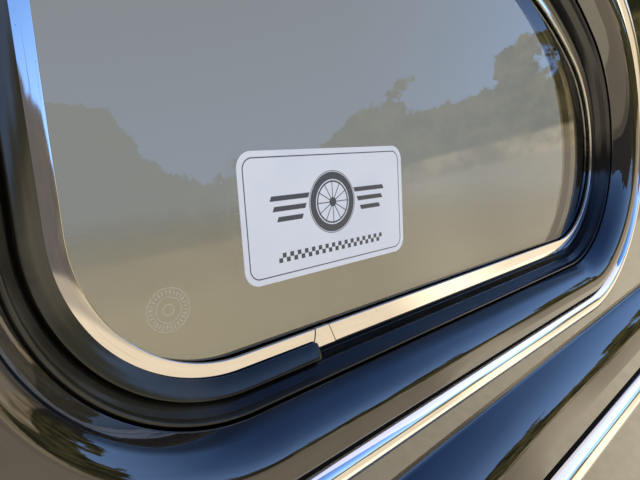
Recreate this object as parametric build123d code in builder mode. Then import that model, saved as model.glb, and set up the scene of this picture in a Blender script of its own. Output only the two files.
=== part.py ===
from build123d import *
import math
import os

# A car's fixed rear quarter window, set in its section of the body side.
# Millimetres. +X runs to the car's rear along the belt, +Z up in the plane of
# the glass, -Y outboard. The origin is the centre of the four mounting holes,
# on the inner panel's inboard face.

os.makedirs("parts", exist_ok=True)

FIT = 0.3                    # clearance of rubber, trim and boards

# Sheets of the body side
SKIN = 1.2                   # outer sheet
INNER_SHEET = 1.5            # inner panel sheet

# Window as seen from outside, at the bright trim's inner edge
WINDOW_WIDTH = 536.0
WINDOW_HEIGHT = 249.0
WINDOW_FALL = 2.2            # degrees that the window drops towards the rear
REAR_SLOPE = 35.0            # degrees, fall of the roof line behind the top arc
FRONT_LOWER_RADIUS = 72.0
FRONT_UPPER_RADIUS = 62.0
REAR_LOWER_RADIUS = 76.0
REAR_UPPER_RADIUS = 122.0
SHORT_STRAIGHT = 1.0         # least straight left between two arcs

# Depths of the body, each one step outboard of the one it names
GLASS_FACE = 38.0            # glass's outer face, from the mounting plane
GLASS_THICKNESS = 6.0
PILLAR_PROUD = 28.0          # body beside the window, from the glass's face
FRAME_STEP = 5.0             # raised window frame, from the pillar
SKIRT_LEAN = 9.2             # degrees that the body leans out below the belt
ROOF_STEP = 20.0             # section's upper edge, inboard of the pillar
APERTURE_PROUD = 15.0        # painted edge round the rubber, from the glass's face

# Body around the bead moulding, out to the section's edges
FRONT_FLAT = 31.0
REAR_FLAT = 89.0
LOWER_FLAT = 4.5             # flat between the bead and the cove
COVE_RADIUS = 26.0           # hollow bend below the bead
SHOULDER_RADIUS = 118.0      # full bend from the cove down to the belt moulding
SHOULDER_LEAN = 40.0         # degrees, steepest lean where the two bends meet
SKIRT_HEIGHT = 101.8         # top of the belt moulding down to the lower edge
UPPER_FLAT = 4.5             # flat between the bead and the roof bend
ROOF_BEND = 28.0             # height of the roof bend up to the upper edge

# Raised frame, its reach out from the window's edge on each side
FRAME_FRONT = 60.0
FRAME_LOWER_FRONT = 59.5
FRAME_LOWER_REAR = 53.0
FRAME_REAR = 62.0
FRAME_SLOPE = 57.0
FRAME_TOP = 57.0
FRAME_RIM = 4.0              # flat rim of the raised frame
BAND_ANGLES = (60, 45, 30, 15, 0)   # slopes of the rounded band, inner edge first
BAND_OVERLAP = 0.5           # jamb cut run up into the band cut

# Bright trim on the rubber
TRIM_WIDTH = 11.5
TRIM_INNER_EDGE = 1.6        # trim's sides above its seat
TRIM_OUTER_EDGE = 1.3
TRIM_CROWN = 0.7
TRIM_SHEET = 0.5             # the trim is a rolled channel
JOINT_FROM_FRONT = 128.0     # trim joint, from the window's front edge
JOINT_CLIP_LENGTH = 14.0
JOINT_CLIP_RISE = 0.2        # clip's face above the trim's

# Rubber section
GLASS_OVERLAP = 9.0          # glass hidden under trim and rubber
RUBBER_SHOW = 16.5           # rubber seen between the trim and the painted edge
RUBBER_LIP = 1.5             # rubber's lip, set back from the trim's inner edge
TRIM_SEAT = 1.9              # trim's seat above the glass
GROOVE_WIDTH = 5.1           # groove for the locking strip
GROOVE_FLOOR = 0.4
FLANK_LEAN = 2.1             # groove's outer flank
FLANK_HEIGHT = 7.0
SHOULDER_RISE = 0.5          # round of the shoulder between flank and ridge
RIDGE_FOOT = 0.9             # dip beside the ridge
RIDGE_HEIGHT = 3.2           # ridge above its dip
RIDGE_WIDTH = 1.6
RIDGE_SHOULDER = 2.1         # ridge's outer slope, down to the painted edge
RIDGE_FALL = 5.0
RIDGE_BELOW_EDGE = 0.4       # ridge, below the painted edge
LOBE_DEPTH = 5.0             # rubber's inner lobe, inboard of the glass
LOBE_EDGE = 2.4
LOBE_SLOPE = 5.5
STRIP_COVER = 4.3            # locking strip's lip over the trim's outer edge
STRIP_LIP = 0.7              # thickness of the lip's edge
STRIP_HEIGHT = 9.0           # locking strip's outer edge above the glass
STRIP_TAPER = 0.6            # its outer side, in from the groove's
STRIP_ROUND = 0.5            # crown of the locking strip

# Welded flanges in the rubber
FLANGE_BACK = 2.4            # outer flange's face, inboard of the glass's face
FLANGE_BITE = 11.0           # flange's reach in from the painted edge
JAMB_STEP = 6.0              # inner panel's opening, out from the painted edge

# Mouldings on the body
BEAD_GAP = 2.0
BEAD_WIDTH = 19.0
BEAD_EDGE = 1.5
BEAD_CROWN = 4.2
BEAD_SHEET = 0.8
BELT_MOULDING_GAP = 1.0
BELT_MOULDING_WIDTH = 27.0
BELT_MOULDING_EDGE = 2.0
BELT_MOULDING_CROWN = 7.0
BELT_MOULDING_SHEET = 1.0

# Sticker, from the window's front and lower edges
DECAL_WIDTH = 127.0
DECAL_HEIGHT = 69.4
DECAL_RADIUS = 9.0
DECAL_THICKNESS = 0.3
DECAL_FROM_FRONT = 80.6
DECAL_FROM_BOTTOM = 31.8

# Inside trim
GARNISH_COVER = 10.0         # garnish moulding beyond the inner panel's opening
GARNISH_SHEET = 1.5
GARNISH_TUCK = 3.0           # garnish moulding's lip, hidden behind the rubber's lobe
GARNISH_PROUD = 3.0          # inboard of the inner panel
GARNISH_RIM = 8.0            # flat rim for its screws
GARNISH_BULGE = 7.6
BOARD_THICKNESS = 8.0
BOARD_MARGIN = 42.0          # bare inner panel round the boards
SPLIT_DROP = 85.0            # split between lining and board, below the window's middle
PIPING_RISE = 58.0           # piping above the board's lower edge
PIPING_RADIUS = 4.0

# Mounting holes with weld nuts behind them
BOLT_INSET = 20.0
BOLT_RADIUS = 4.5
NUT_RADIUS = 9.0
NUT_DEPTH = 8.0

# Values that follow from these
frame_proud = PILLAR_PROUD + FRAME_STEP
skirt_lean = math.radians(SKIRT_LEAN)
shoulder_lean = math.radians(SHOULDER_LEAN)
bend_centres = COVE_RADIUS + SHOULDER_RADIUS
belt_drop = bend_centres * math.sin(shoulder_lean) - SHOULDER_RADIUS * math.sin(skirt_lean)
belt_step = (
    COVE_RADIUS
    - bend_centres * math.cos(shoulder_lean)
    + SHOULDER_RADIUS * math.cos(skirt_lean)
)
belt_proud = PILLAR_PROUD + belt_step
roof_proud = PILLAR_PROUD - ROOF_STEP
frame_reach = (
    FRAME_FRONT,
    FRAME_LOWER_FRONT,
    FRAME_LOWER_REAR,
    FRAME_REAR,
    FRAME_SLOPE,
    FRAME_TOP,
)
aperture = TRIM_WIDTH + RUBBER_SHOW
flange_reach = aperture - FLANGE_BITE
jamb = aperture + JAMB_STEP
garnish_out = jamb + GARNISH_COVER
flange_low = -FLANGE_BACK - SKIN
inner_low = flange_low - INNER_SHEET
lobe_low = -GLASS_THICKNESS - LOBE_DEPTH
half_clip = JOINT_CLIP_LENGTH / 2
bead = BEAD_GAP + BEAD_WIDTH
front_side = FRAME_FRONT + bead + FRONT_FLAT
rear_side = FRAME_REAR + bead + REAR_FLAT
lower_side = FRAME_LOWER_FRONT + bead + LOWER_FLAT + belt_drop + SKIRT_HEIGHT
upper_side = FRAME_TOP + bead + UPPER_FLAT + ROOF_BEND
panel_length = front_side + WINDOW_WIDTH + rear_side
panel_height = lower_side + WINDOW_HEIGHT + upper_side
window_x = (front_side - rear_side) / 2
window_z = (lower_side - upper_side) / 2
belt_z = SKIRT_HEIGHT - panel_height / 2
board_length = panel_length - 2 * BOARD_MARGIN
board_reach = panel_height / 2 - BOARD_MARGIN
board_split = window_z - SPLIT_DROP
piping_z = PIPING_RISE - board_reach
bolt_x = panel_length / 2 - BOLT_INSET
bolt_z = panel_height / 2 - BOLT_INSET

fall = math.radians(WINDOW_FALL)
window_plane = Plane(
    origin=(window_x, 0, window_z),
    x_dir=(math.cos(fall), 0, -math.sin(fall)),
    z_dir=(0, -1, 0),
)


def depth(proud):
    """Window plane moved to a height above the glass's face."""
    return window_plane.offset(GLASS_FACE + proud)


def meet(point_a, angle_a, point_b, angle_b):
    """Crossing of two lines, each given by a point and an angle in degrees."""
    ax, ay = math.cos(math.radians(angle_a)), math.sin(math.radians(angle_a))
    bx, by = math.cos(math.radians(angle_b)), math.sin(math.radians(angle_b))
    dx, dy = point_b[0] - point_a[0], point_b[1] - point_a[1]
    along = (dx * by - dy * bx) / (ax * by - ay * bx)
    return (point_a[0] + along * ax, point_a[1] + along * ay)


def loop_round(front, lower_front, lower_rear, rear, slope, top):
    """Closed outline of five lines and arcs that lies outside the window's edge."""
    half_w, half_h = WINDOW_WIDTH / 2, WINDOW_HEIGHT / 2
    arc_x = half_w - REAR_UPPER_RADIUS
    arc_z = -half_h + REAR_LOWER_RADIUS + SHORT_STRAIGHT
    lean = math.radians(90 - REAR_SLOPE)
    touch = REAR_UPPER_RADIUS + slope
    on_slope = (arc_x + touch * math.cos(lean), arc_z + touch * math.sin(lean))
    low_front = (-half_w, -half_h - lower_front)
    low_rear = (half_w, -half_h - lower_rear)
    tilt = math.degrees(math.atan2(low_rear[1] - low_front[1], 2 * half_w))
    front_point = (-half_w - front, 0)
    rear_point = (half_w + rear, 0)
    top_point = (0, half_h + top)
    corners = [
        meet(front_point, 90, low_front, tilt),
        meet(rear_point, 90, low_front, tilt),
        meet(rear_point, 90, on_slope, -REAR_SLOPE),
        meet(top_point, 0, on_slope, -REAR_SLOPE),
        meet(top_point, 0, front_point, 90),
    ]
    lower = REAR_LOWER_RADIUS + min(lower_rear, rear)
    lower_half_turn = math.radians(90 - tilt) / 2
    upper_half_turn = math.radians(90 - REAR_SLOPE) / 2
    rear_run = math.dist(corners[1], corners[2]) - lower * math.tan(lower_half_turn)
    upper = (rear_run - SHORT_STRAIGHT) / math.tan(upper_half_turn)
    roof_run = math.dist(corners[2], corners[3]) - upper * math.tan(upper_half_turn)
    roof = (roof_run - SHORT_STRAIGHT) / math.tan(math.radians(REAR_SLOPE) / 2)
    radii = [
        FRONT_LOWER_RADIUS + min(front, lower_front),
        lower,
        upper,
        roof,
        FRONT_UPPER_RADIUS + min(front, top),
    ]
    return FilletPolyline(*corners, radius=radii, close=True)


def window_loop(out):
    """Closed outline at an even distance outside the window's edge."""
    return loop_round(out, out, out, out, out, out)


def frame_loop(out):
    """Closed outline of the raised frame, grown by a distance."""
    return loop_round(*(reach + out for reach in frame_reach))


def band_loop(share, out):
    """Outline part of the way from the painted edge to the raised frame."""
    return loop_round(
        *(aperture + share * (reach - FRAME_RIM - aperture) + out for reach in frame_reach)
    )


def channel(feet, base, edges, crown, sheet):
    """Face of a rolled channel: feet apart, edges rising to a crowned top."""
    with BuildSketch(mode=Mode.PRIVATE) as section:
        for step, mode in ((0, Mode.ADD), (sheet, Mode.SUBTRACT)):
            left = (feet[0] + step, base + edges[0] - step)
            right = (feet[1] - step, base + edges[1] - step)
            with BuildLine():
                SagittaArc(left, right, crown - step / 2)
                Polyline(right, (right[0], base), (left[0], base), left)
            make_face(mode=mode)
    return section.sketch


def across(path):
    """Plane across a loop at its start: x away from the window, y outboard."""
    outboard = Vector(0, -1, 0)
    away = outboard.cross(path % 0)
    middle = Vector(window_x, 0, window_z)
    if away.dot((path @ 0) - middle) < 0:
        away = -away
    return Plane(origin=path @ 0, x_dir=away, z_dir=away.cross(outboard))


def body_form(inset):
    """Solid body side: its upright section drawn out along the car."""
    top, bottom = panel_height / 2 - inset, inset - panel_height / 2
    cove_z = belt_z + belt_drop
    pillar_y, roof_y = (inset - GLASS_FACE - proud for proud in (PILLAR_PROUD, roof_proud))
    outward = (math.cos(shoulder_lean), -math.sin(shoulder_lean))
    cove = (pillar_y - inset - COVE_RADIUS, cove_z)
    shoulder = (cove[0] + bend_centres * outward[0], cove[1] + bend_centres * outward[1])
    cove_reach, shoulder_reach = COVE_RADIUS + inset, SHOULDER_RADIUS - inset
    bend = (cove[0] + cove_reach * outward[0], cove[1] + cove_reach * outward[1])
    belt = (
        shoulder[0] - shoulder_reach * math.cos(skirt_lean),
        shoulder[1] + shoulder_reach * math.sin(skirt_lean),
    )
    skirt_y = belt[0] - (belt[1] - bottom) * math.tan(skirt_lean)
    with BuildPart() as form:
        with BuildSketch(Plane.YZ.offset(inset - panel_length / 2)):
            with BuildLine():
                Line((skirt_y, bottom), belt)
                TangentArc(belt, bend, tangent=(math.sin(skirt_lean), math.cos(skirt_lean)))
                TangentArc((pillar_y, cove_z), bend, tangent=(0, -1))
                Line((pillar_y, cove_z), (pillar_y, top - ROOF_BEND))
                TangentArc((pillar_y, top - ROOF_BEND), (roof_y, top), tangent=(0, 1))
                Polyline((roof_y, top), (0, top), (0, bottom), (skirt_y, bottom))
            make_face()
        extrude(amount=panel_length - 2 * inset)
        with BuildSketch(window_plane):
            with BuildLine():
                frame_loop(-inset)
            make_face()
        extrude(amount=GLASS_FACE + frame_proud - inset)
    return form.part


def recess_form(grow):
    """Air of the window recess, its rounded band and the opening behind it."""
    first = math.radians(BAND_ANGLES[0])
    with BuildPart() as air:
        for angle in BAND_ANGLES:
            turn = math.radians(angle)
            share = 1 - math.sin(turn) / math.sin(first)
            rise = (math.cos(turn) - math.cos(first)) / (1 - math.cos(first))
            proud = APERTURE_PROUD + rise * (frame_proud - APERTURE_PROUD)
            with BuildSketch(depth(proud - grow)):
                with BuildLine():
                    band_loop(share, grow)
                make_face()
        loft()
        with BuildSketch(depth(APERTURE_PROUD - grow + BAND_OVERLAP)):
            with BuildLine():
                band_loop(0, grow)
            make_face()
        extrude(amount=-GLASS_FACE - APERTURE_PROUD - 2 * BAND_OVERLAP)
    return air.part


def ring(inner, outer, low, high):
    """Flat ring round the window between two distances and two heights."""
    with BuildPart() as flat:
        with BuildSketch(depth(low)):
            with BuildLine():
                window_loop(outer)
            make_face()
            with BuildLine():
                window_loop(inner)
            make_face(mode=Mode.SUBTRACT)
        extrude(amount=high - low)
    return flat.part


def at_joint(shift):
    """Upright plane across the car at the trim's joint, moved rearwards."""
    local = Vector(JOINT_FROM_FRONT - WINDOW_WIDTH / 2 + shift, 0, 0)
    return Plane(origin=window_plane.from_local_coords(local), z_dir=window_plane.x_dir)


# The window's edge as a path, with the plane across it
with BuildLine(depth(0)) as edge_line:
    window_loop(0)
edge_path = edge_line.wires()[0]
edge_plane = across(edge_path)

# Painted outer skin with its rounded recess, jamb and welded flange
with BuildPart() as hollow:
    add(body_form(SKIN))
    add(recess_form(SKIN), mode=Mode.SUBTRACT)

with BuildPart() as outer_skin:
    add(body_form(0))
    add(recess_form(0), mode=Mode.SUBTRACT)
    add(hollow.part, mode=Mode.SUBTRACT)
    add(ring(aperture - SKIN, aperture + 2 * SKIN, -GLASS_FACE, flange_low), mode=Mode.SUBTRACT)
    add(ring(flange_reach, aperture + SKIN / 2, flange_low, -FLANGE_BACK))
outer_skin.part.label = "outer_skin"
export_step(outer_skin.part, "parts/outer_skin.step")

# Inner panel: flat sheet, jamb turned outboard, flange welded to the skin's
with BuildPart() as inner_panel:
    with BuildSketch(Plane.XZ):
        Rectangle(panel_length - 2 * SKIN, panel_height - 2 * SKIN)
    extrude(amount=INNER_SHEET)
    with BuildSketch(window_plane):
        with BuildLine():
            window_loop(jamb)
        make_face()
    extrude(amount=INNER_SHEET, mode=Mode.SUBTRACT)
    add(ring(jamb - INNER_SHEET, jamb + INNER_SHEET, -GLASS_FACE, INNER_SHEET - GLASS_FACE))
    add(ring(jamb - INNER_SHEET, jamb, -GLASS_FACE, flange_low))
    add(ring(flange_reach, jamb, inner_low, flange_low))
    with BuildSketch(Plane.XZ.offset(INNER_SHEET)):
        with GridLocations(2 * bolt_x, 2 * bolt_z, 2, 2):
            Circle(NUT_RADIUS)
    extrude(amount=NUT_DEPTH)
    with BuildSketch(Plane.XZ):
        with GridLocations(2 * bolt_x, 2 * bolt_z, 2, 2):
            Circle(BOLT_RADIUS)
    extrude(amount=INNER_SHEET + NUT_DEPTH, mode=Mode.SUBTRACT)
inner_panel.part.label = "inner_panel"
export_step(inner_panel.part, "parts/inner_panel.step")

# Flat glass, its edge hidden in the rubber
with BuildPart() as glass:
    with BuildSketch(depth(-GLASS_THICKNESS)):
        with BuildLine():
            window_loop(GLASS_OVERLAP)
        make_face()
    extrude(amount=GLASS_THICKNESS)
glass.part.label = "glass"
export_step(glass.part, "parts/glass.step")

# Rubber that grips the glass and the welded flange: its corners, trim side first
groove_in = TRIM_WIDTH + 2 * FIT
groove_out = groove_in + GROOVE_WIDTH
ridge_out = aperture - FIT
ridge_edge = ridge_out - RIDGE_SHOULDER
ridge_in = ridge_edge - RIDGE_WIDTH
ridge_top = APERTURE_PROUD - RIDGE_BELOW_EDGE
flank_top = (groove_out + FLANK_LEAN, FLANK_HEIGHT)
ridge_foot = (ridge_in - RIDGE_FOOT, ridge_top - RIDGE_HEIGHT)
flange_seat = flange_reach - FIT
glass_seat = GLASS_OVERLAP + FIT
with BuildPart() as weatherstrip:
    with BuildSketch(edge_plane):
        with BuildLine():
            Polyline(
                (RUBBER_LIP, 0),
                (RUBBER_LIP, TRIM_SEAT),
                (TRIM_WIDTH + FIT, TRIM_SEAT),
                (groove_in, GROOVE_FLOOR),
                (groove_out, GROOVE_FLOOR),
                flank_top,
            )
            SagittaArc(flank_top, ridge_foot, SHOULDER_RISE)
            Polyline(
                ridge_foot,
                (ridge_in, ridge_top),
                (ridge_edge, ridge_top),
                (ridge_out, ridge_top - RIDGE_FALL),
                (ridge_out, -FLANGE_BACK),
                (flange_seat, -FLANGE_BACK),
                (flange_seat, inner_low),
                (ridge_out, inner_low),
                (ridge_out, inner_low - LOBE_EDGE),
                (ridge_out - LOBE_SLOPE, lobe_low),
                (2 * RUBBER_LIP, lobe_low),
                (RUBBER_LIP, lobe_low + RUBBER_LIP),
                (RUBBER_LIP, -GLASS_THICKNESS),
                (glass_seat, -GLASS_THICKNESS),
                (glass_seat, 0),
                (RUBBER_LIP, 0),
            )
        make_face()
    sweep(path=edge_path)
weatherstrip.part.label = "weatherstrip"
export_step(weatherstrip.part, "parts/weatherstrip.step")

# Locking strip that fills the groove and laps the trim along the front half
trim_top = TRIM_SEAT + TRIM_INNER_EDGE + TRIM_CROWN + JOINT_CLIP_RISE
lip_low = (TRIM_WIDTH - STRIP_COVER, trim_top + FIT / 3)
lip_top = (lip_low[0], lip_low[1] + STRIP_LIP)
strip_top = (groove_out - STRIP_TAPER, STRIP_HEIGHT)
with BuildPart() as locking_strip:
    with BuildSketch(edge_plane):
        with BuildLine():
            Polyline(
                lip_top,
                lip_low,
                (groove_in, lip_low[1]),
                (groove_in + FIT, GROOVE_FLOOR),
                (groove_out - FIT, GROOVE_FLOOR),
                strip_top,
            )
            SagittaArc(lip_top, strip_top, STRIP_ROUND)
        make_face()
    sweep(path=edge_path)
    split(bisect_by=at_joint(0), keep=Keep.BOTTOM)
locking_strip.part.label = "locking_strip"
export_step(locking_strip.part, "parts/locking_strip.step")


def trim_ring(grow):
    """Ring of the bright trim's rolled channel, thickened by a distance."""
    feet = (-grow, TRIM_WIDTH + grow)
    edges = (TRIM_INNER_EDGE + grow, TRIM_OUTER_EDGE + grow)
    with BuildPart() as whole:
        with BuildSketch(edge_plane):
            add(channel(feet, TRIM_SEAT, edges, TRIM_CROWN, TRIM_SHEET))
        sweep(path=edge_path)
    return whole.part


# Bright reveal trim in two halves that meet under a clip
with BuildPart() as reveal_front:
    add(trim_ring(0))
    split(bisect_by=at_joint(-half_clip), keep=Keep.BOTTOM)
reveal_front.part.label = "reveal_front"
export_step(reveal_front.part, "parts/reveal_front.step")

with BuildPart() as reveal_rear:
    add(trim_ring(0))
    split(bisect_by=at_joint(half_clip), keep=Keep.TOP)
reveal_rear.part.label = "reveal_rear"
export_step(reveal_rear.part, "parts/reveal_rear.step")

# Joint clips below and above the window
with BuildPart() as clips:
    add(trim_ring(JOINT_CLIP_RISE))
    split(bisect_by=at_joint(FIT / 3 - half_clip), keep=Keep.TOP)
    split(bisect_by=at_joint(half_clip - FIT / 3), keep=Keep.BOTTOM)
lower_clip, upper_clip = clips.part.solids().sort_by(Axis.Z)

with BuildPart() as joint_clip_lower:
    add(lower_clip)
joint_clip_lower.part.label = "joint_clip_lower"
export_step(joint_clip_lower.part, "parts/joint_clip_lower.step")

with BuildPart() as joint_clip_upper:
    add(upper_clip)
joint_clip_upper.part.label = "joint_clip_upper"
export_step(joint_clip_upper.part, "parts/joint_clip_upper.step")

# Bright bead round the raised frame
with BuildLine(depth(PILLAR_PROUD)) as bead_line:
    frame_loop(BEAD_GAP)
bead_path = bead_line.wires()[0]
with BuildPart() as bead_moulding:
    with BuildSketch(across(bead_path)):
        add(channel((0, BEAD_WIDTH), 0, (BEAD_EDGE, BEAD_EDGE), BEAD_CROWN, BEAD_SHEET))
    sweep(path=bead_path)
bead_moulding.part.label = "bead_moulding"
export_step(bead_moulding.part, "parts/bead_moulding.step")

# Bright belt moulding along the body, leaning with the skirt
belt_plane = Plane(
    origin=(panel_length / 2, -GLASS_FACE - belt_proud, belt_z),
    x_dir=(0, -math.sin(skirt_lean), -math.cos(skirt_lean)),
    z_dir=(-1, 0, 0),
)
belt_feet = (BELT_MOULDING_GAP, BELT_MOULDING_GAP + BELT_MOULDING_WIDTH)
belt_edges = (BELT_MOULDING_EDGE, BELT_MOULDING_EDGE)
with BuildPart() as belt_moulding:
    with BuildSketch(belt_plane):
        add(channel(belt_feet, 0, belt_edges, BELT_MOULDING_CROWN, BELT_MOULDING_SHEET))
    extrude(amount=panel_length)
belt_moulding.part.label = "belt_moulding"
export_step(belt_moulding.part, "parts/belt_moulding.step")

# Blank sticker on the glass
decal_x = DECAL_FROM_FRONT + (DECAL_WIDTH - WINDOW_WIDTH) / 2
decal_z = DECAL_FROM_BOTTOM + (DECAL_HEIGHT - WINDOW_HEIGHT) / 2
with BuildPart() as decal:
    with BuildSketch(depth(0)):
        with Locations((decal_x, decal_z)):
            RectangleRounded(DECAL_WIDTH, DECAL_HEIGHT, DECAL_RADIUS)
    extrude(amount=DECAL_THICKNESS)
decal.part.label = "decal"
export_step(decal.part, "parts/decal.step")

# Pressed garnish moulding that covers the jamb inside
garnish_end = lobe_low - 2 * FIT
garnish_top = -GLASS_FACE - GARNISH_PROUD
rim_in = garnish_out - GARNISH_RIM
with BuildPart() as garnish_moulding:
    with BuildSketch(edge_plane):
        with BuildLine():
            Line((GARNISH_TUCK + GARNISH_SHEET, garnish_end), (GARNISH_TUCK, garnish_end))
            SagittaArc((GARNISH_TUCK, garnish_end), (rim_in, garnish_top), -GARNISH_BULGE)
            Polyline(
                (rim_in, garnish_top),
                (garnish_out, garnish_top),
                (garnish_out, -GLASS_FACE),
                (garnish_out - GARNISH_SHEET, -GLASS_FACE),
                (garnish_out - GARNISH_SHEET, garnish_top + GARNISH_SHEET),
                (rim_in, garnish_top + GARNISH_SHEET),
            )
            SagittaArc(
                (rim_in, garnish_top + GARNISH_SHEET),
                (GARNISH_TUCK + GARNISH_SHEET, garnish_end),
                GARNISH_BULGE,
            )
        make_face()
    sweep(path=edge_path)
garnish_moulding.part.label = "garnish_moulding"
export_step(garnish_moulding.part, "parts/garnish_moulding.step")


def board(low, high):
    """Trim board between two heights, cut out round the garnish moulding."""
    with BuildPart() as blank:
        with BuildSketch(Plane.XZ):
            with Locations((0, (low + high) / 2)):
                Rectangle(board_length, high - low)
        extrude(amount=-BOARD_THICKNESS)
        with BuildSketch(window_plane):
            with BuildLine():
                window_loop(garnish_out + FIT)
            make_face()
        extrude(amount=-BOARD_THICKNESS, mode=Mode.SUBTRACT)
    return blank.part


# Padded board below and beside the window, and the roof lining above it
with BuildPart() as trim_board:
    add(board(-board_reach, board_split - FIT / 2))
trim_board.part.label = "trim_board"
export_step(trim_board.part, "parts/trim_board.step")

with BuildPart() as roof_lining:
    add(board(board_split + FIT / 2, board_reach))
roof_lining.part.label = "roof_lining"
export_step(roof_lining.part, "parts/roof_lining.step")

# Half-round piping along the trim board
with BuildPart() as piping:
    with BuildSketch(Plane.YZ.offset(-board_length / 2)):
        with Locations((BOARD_THICKNESS, piping_z)):
            Circle(PIPING_RADIUS)
        with Locations((BOARD_THICKNESS - PIPING_RADIUS, piping_z)):
            Rectangle(2 * PIPING_RADIUS, 2 * PIPING_RADIUS, mode=Mode.SUBTRACT)
    extrude(amount=board_length)
piping.part.label = "piping"
export_step(piping.part, "parts/piping.step")
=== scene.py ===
"""Looks of a car's fixed rear quarter window, set in its section of black body side."""

import logging
import math
from dataclasses import dataclass, field
from enum import Enum
from typing import Callable, Iterable, Sequence

import bmesh
import bpy
from mathutils import Matrix, Vector


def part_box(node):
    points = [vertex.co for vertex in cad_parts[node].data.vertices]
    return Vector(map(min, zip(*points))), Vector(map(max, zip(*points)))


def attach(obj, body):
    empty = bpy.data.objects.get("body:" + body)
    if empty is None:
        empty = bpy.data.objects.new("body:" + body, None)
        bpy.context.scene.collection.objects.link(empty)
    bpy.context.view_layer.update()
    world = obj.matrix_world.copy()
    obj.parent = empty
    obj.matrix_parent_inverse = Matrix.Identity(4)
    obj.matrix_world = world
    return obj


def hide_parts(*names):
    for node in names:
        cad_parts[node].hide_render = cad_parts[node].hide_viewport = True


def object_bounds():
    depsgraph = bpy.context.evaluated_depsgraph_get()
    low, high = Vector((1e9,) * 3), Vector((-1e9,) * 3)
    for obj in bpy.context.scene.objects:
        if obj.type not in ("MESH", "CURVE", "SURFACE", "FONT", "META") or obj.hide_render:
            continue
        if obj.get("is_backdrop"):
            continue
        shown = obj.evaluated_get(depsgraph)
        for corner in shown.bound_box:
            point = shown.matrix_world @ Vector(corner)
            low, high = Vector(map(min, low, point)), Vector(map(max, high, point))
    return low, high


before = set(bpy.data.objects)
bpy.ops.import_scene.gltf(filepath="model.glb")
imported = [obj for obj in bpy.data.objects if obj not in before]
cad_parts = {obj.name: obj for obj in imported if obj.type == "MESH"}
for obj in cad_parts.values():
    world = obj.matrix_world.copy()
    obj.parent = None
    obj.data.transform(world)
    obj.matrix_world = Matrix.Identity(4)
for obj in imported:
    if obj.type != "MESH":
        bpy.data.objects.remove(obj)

MM = 0.001
QUARTER_TURN = math.pi / 2
OUTBOARD = Vector((0.0, -1.0, 0.0))
BODY = "root"
SMOOTHSTEP = {"interpolation_type": "SMOOTHSTEP"}

Point = tuple[float, float]
Triple = tuple[float, float, float]
Colour = Triple
Loop = tuple[list[Point], float]
Node = bpy.types.Node
Socket = bpy.types.NodeSocket
Piece = bpy.types.Object
Work = bmesh.types.BMesh
log = logging.getLogger("quarter_window")


class Side(Enum):
    """Sides of the window, by which its trim and boards are told apart."""

    FRONT = "front"
    REAR = "rear"
    LOWER = "lower"
    UPPER = "upper"


def operators(operation: str) -> tuple[Callable, Callable]:
    """Python operator of a wire for one kind of Math node.

    Args:
        operation: the Math node's operation.

    Returns:
        The operator's method and its reflected form.
    """

    def forward(wire: "Wire", other: "Wire | float") -> "Wire":
        """Adds the Math node with the wire first."""
        return wire.math(operation, other)

    def reflected(wire: "Wire", other: float) -> "Wire":
        """Adds the Math node with the wire last."""
        return wire.graph.math(operation, other, wire)

    return forward, reflected


class Wire:
    """A node socket that takes part in Python sums as a number."""

    __add__, __radd__ = operators("ADD")
    __sub__, __rsub__ = operators("SUBTRACT")
    __mul__, __rmul__ = operators("MULTIPLY")
    __truediv__, __rtruediv__ = operators("DIVIDE")
    __pow__, __rpow__ = operators("POWER")

    def __init__(self, graph: "Graph", socket: Socket) -> None:
        """Keeps the graph to add nodes to and the socket it stands for."""
        self.graph = graph
        self.socket = socket

    def __abs__(self) -> "Wire":
        """Absolute value."""
        return self.math("ABSOLUTE")

    def math(self, operation: str, *others: "Wire | float") -> "Wire":
        """Adds a Math node with this socket first."""
        return self.graph.math(operation, self, *others)

    def band(self, low: float, high: float) -> "Wire":
        """Smooth step from 0 at low to 1 at high."""
        sockets = {"Value": self, "From Min": low, "From Max": high}
        return self.graph.read("ShaderNodeMapRange", "Result", sockets, SMOOTHSTEP)


def picked(sockets: Sequence[Socket], name: str | int) -> Socket:
    """Socket by its place, or by its name among those in use."""
    named = (s for s in sockets if s.name == name and s.enabled)
    return sockets[name] if isinstance(name, int) else next(named)


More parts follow.
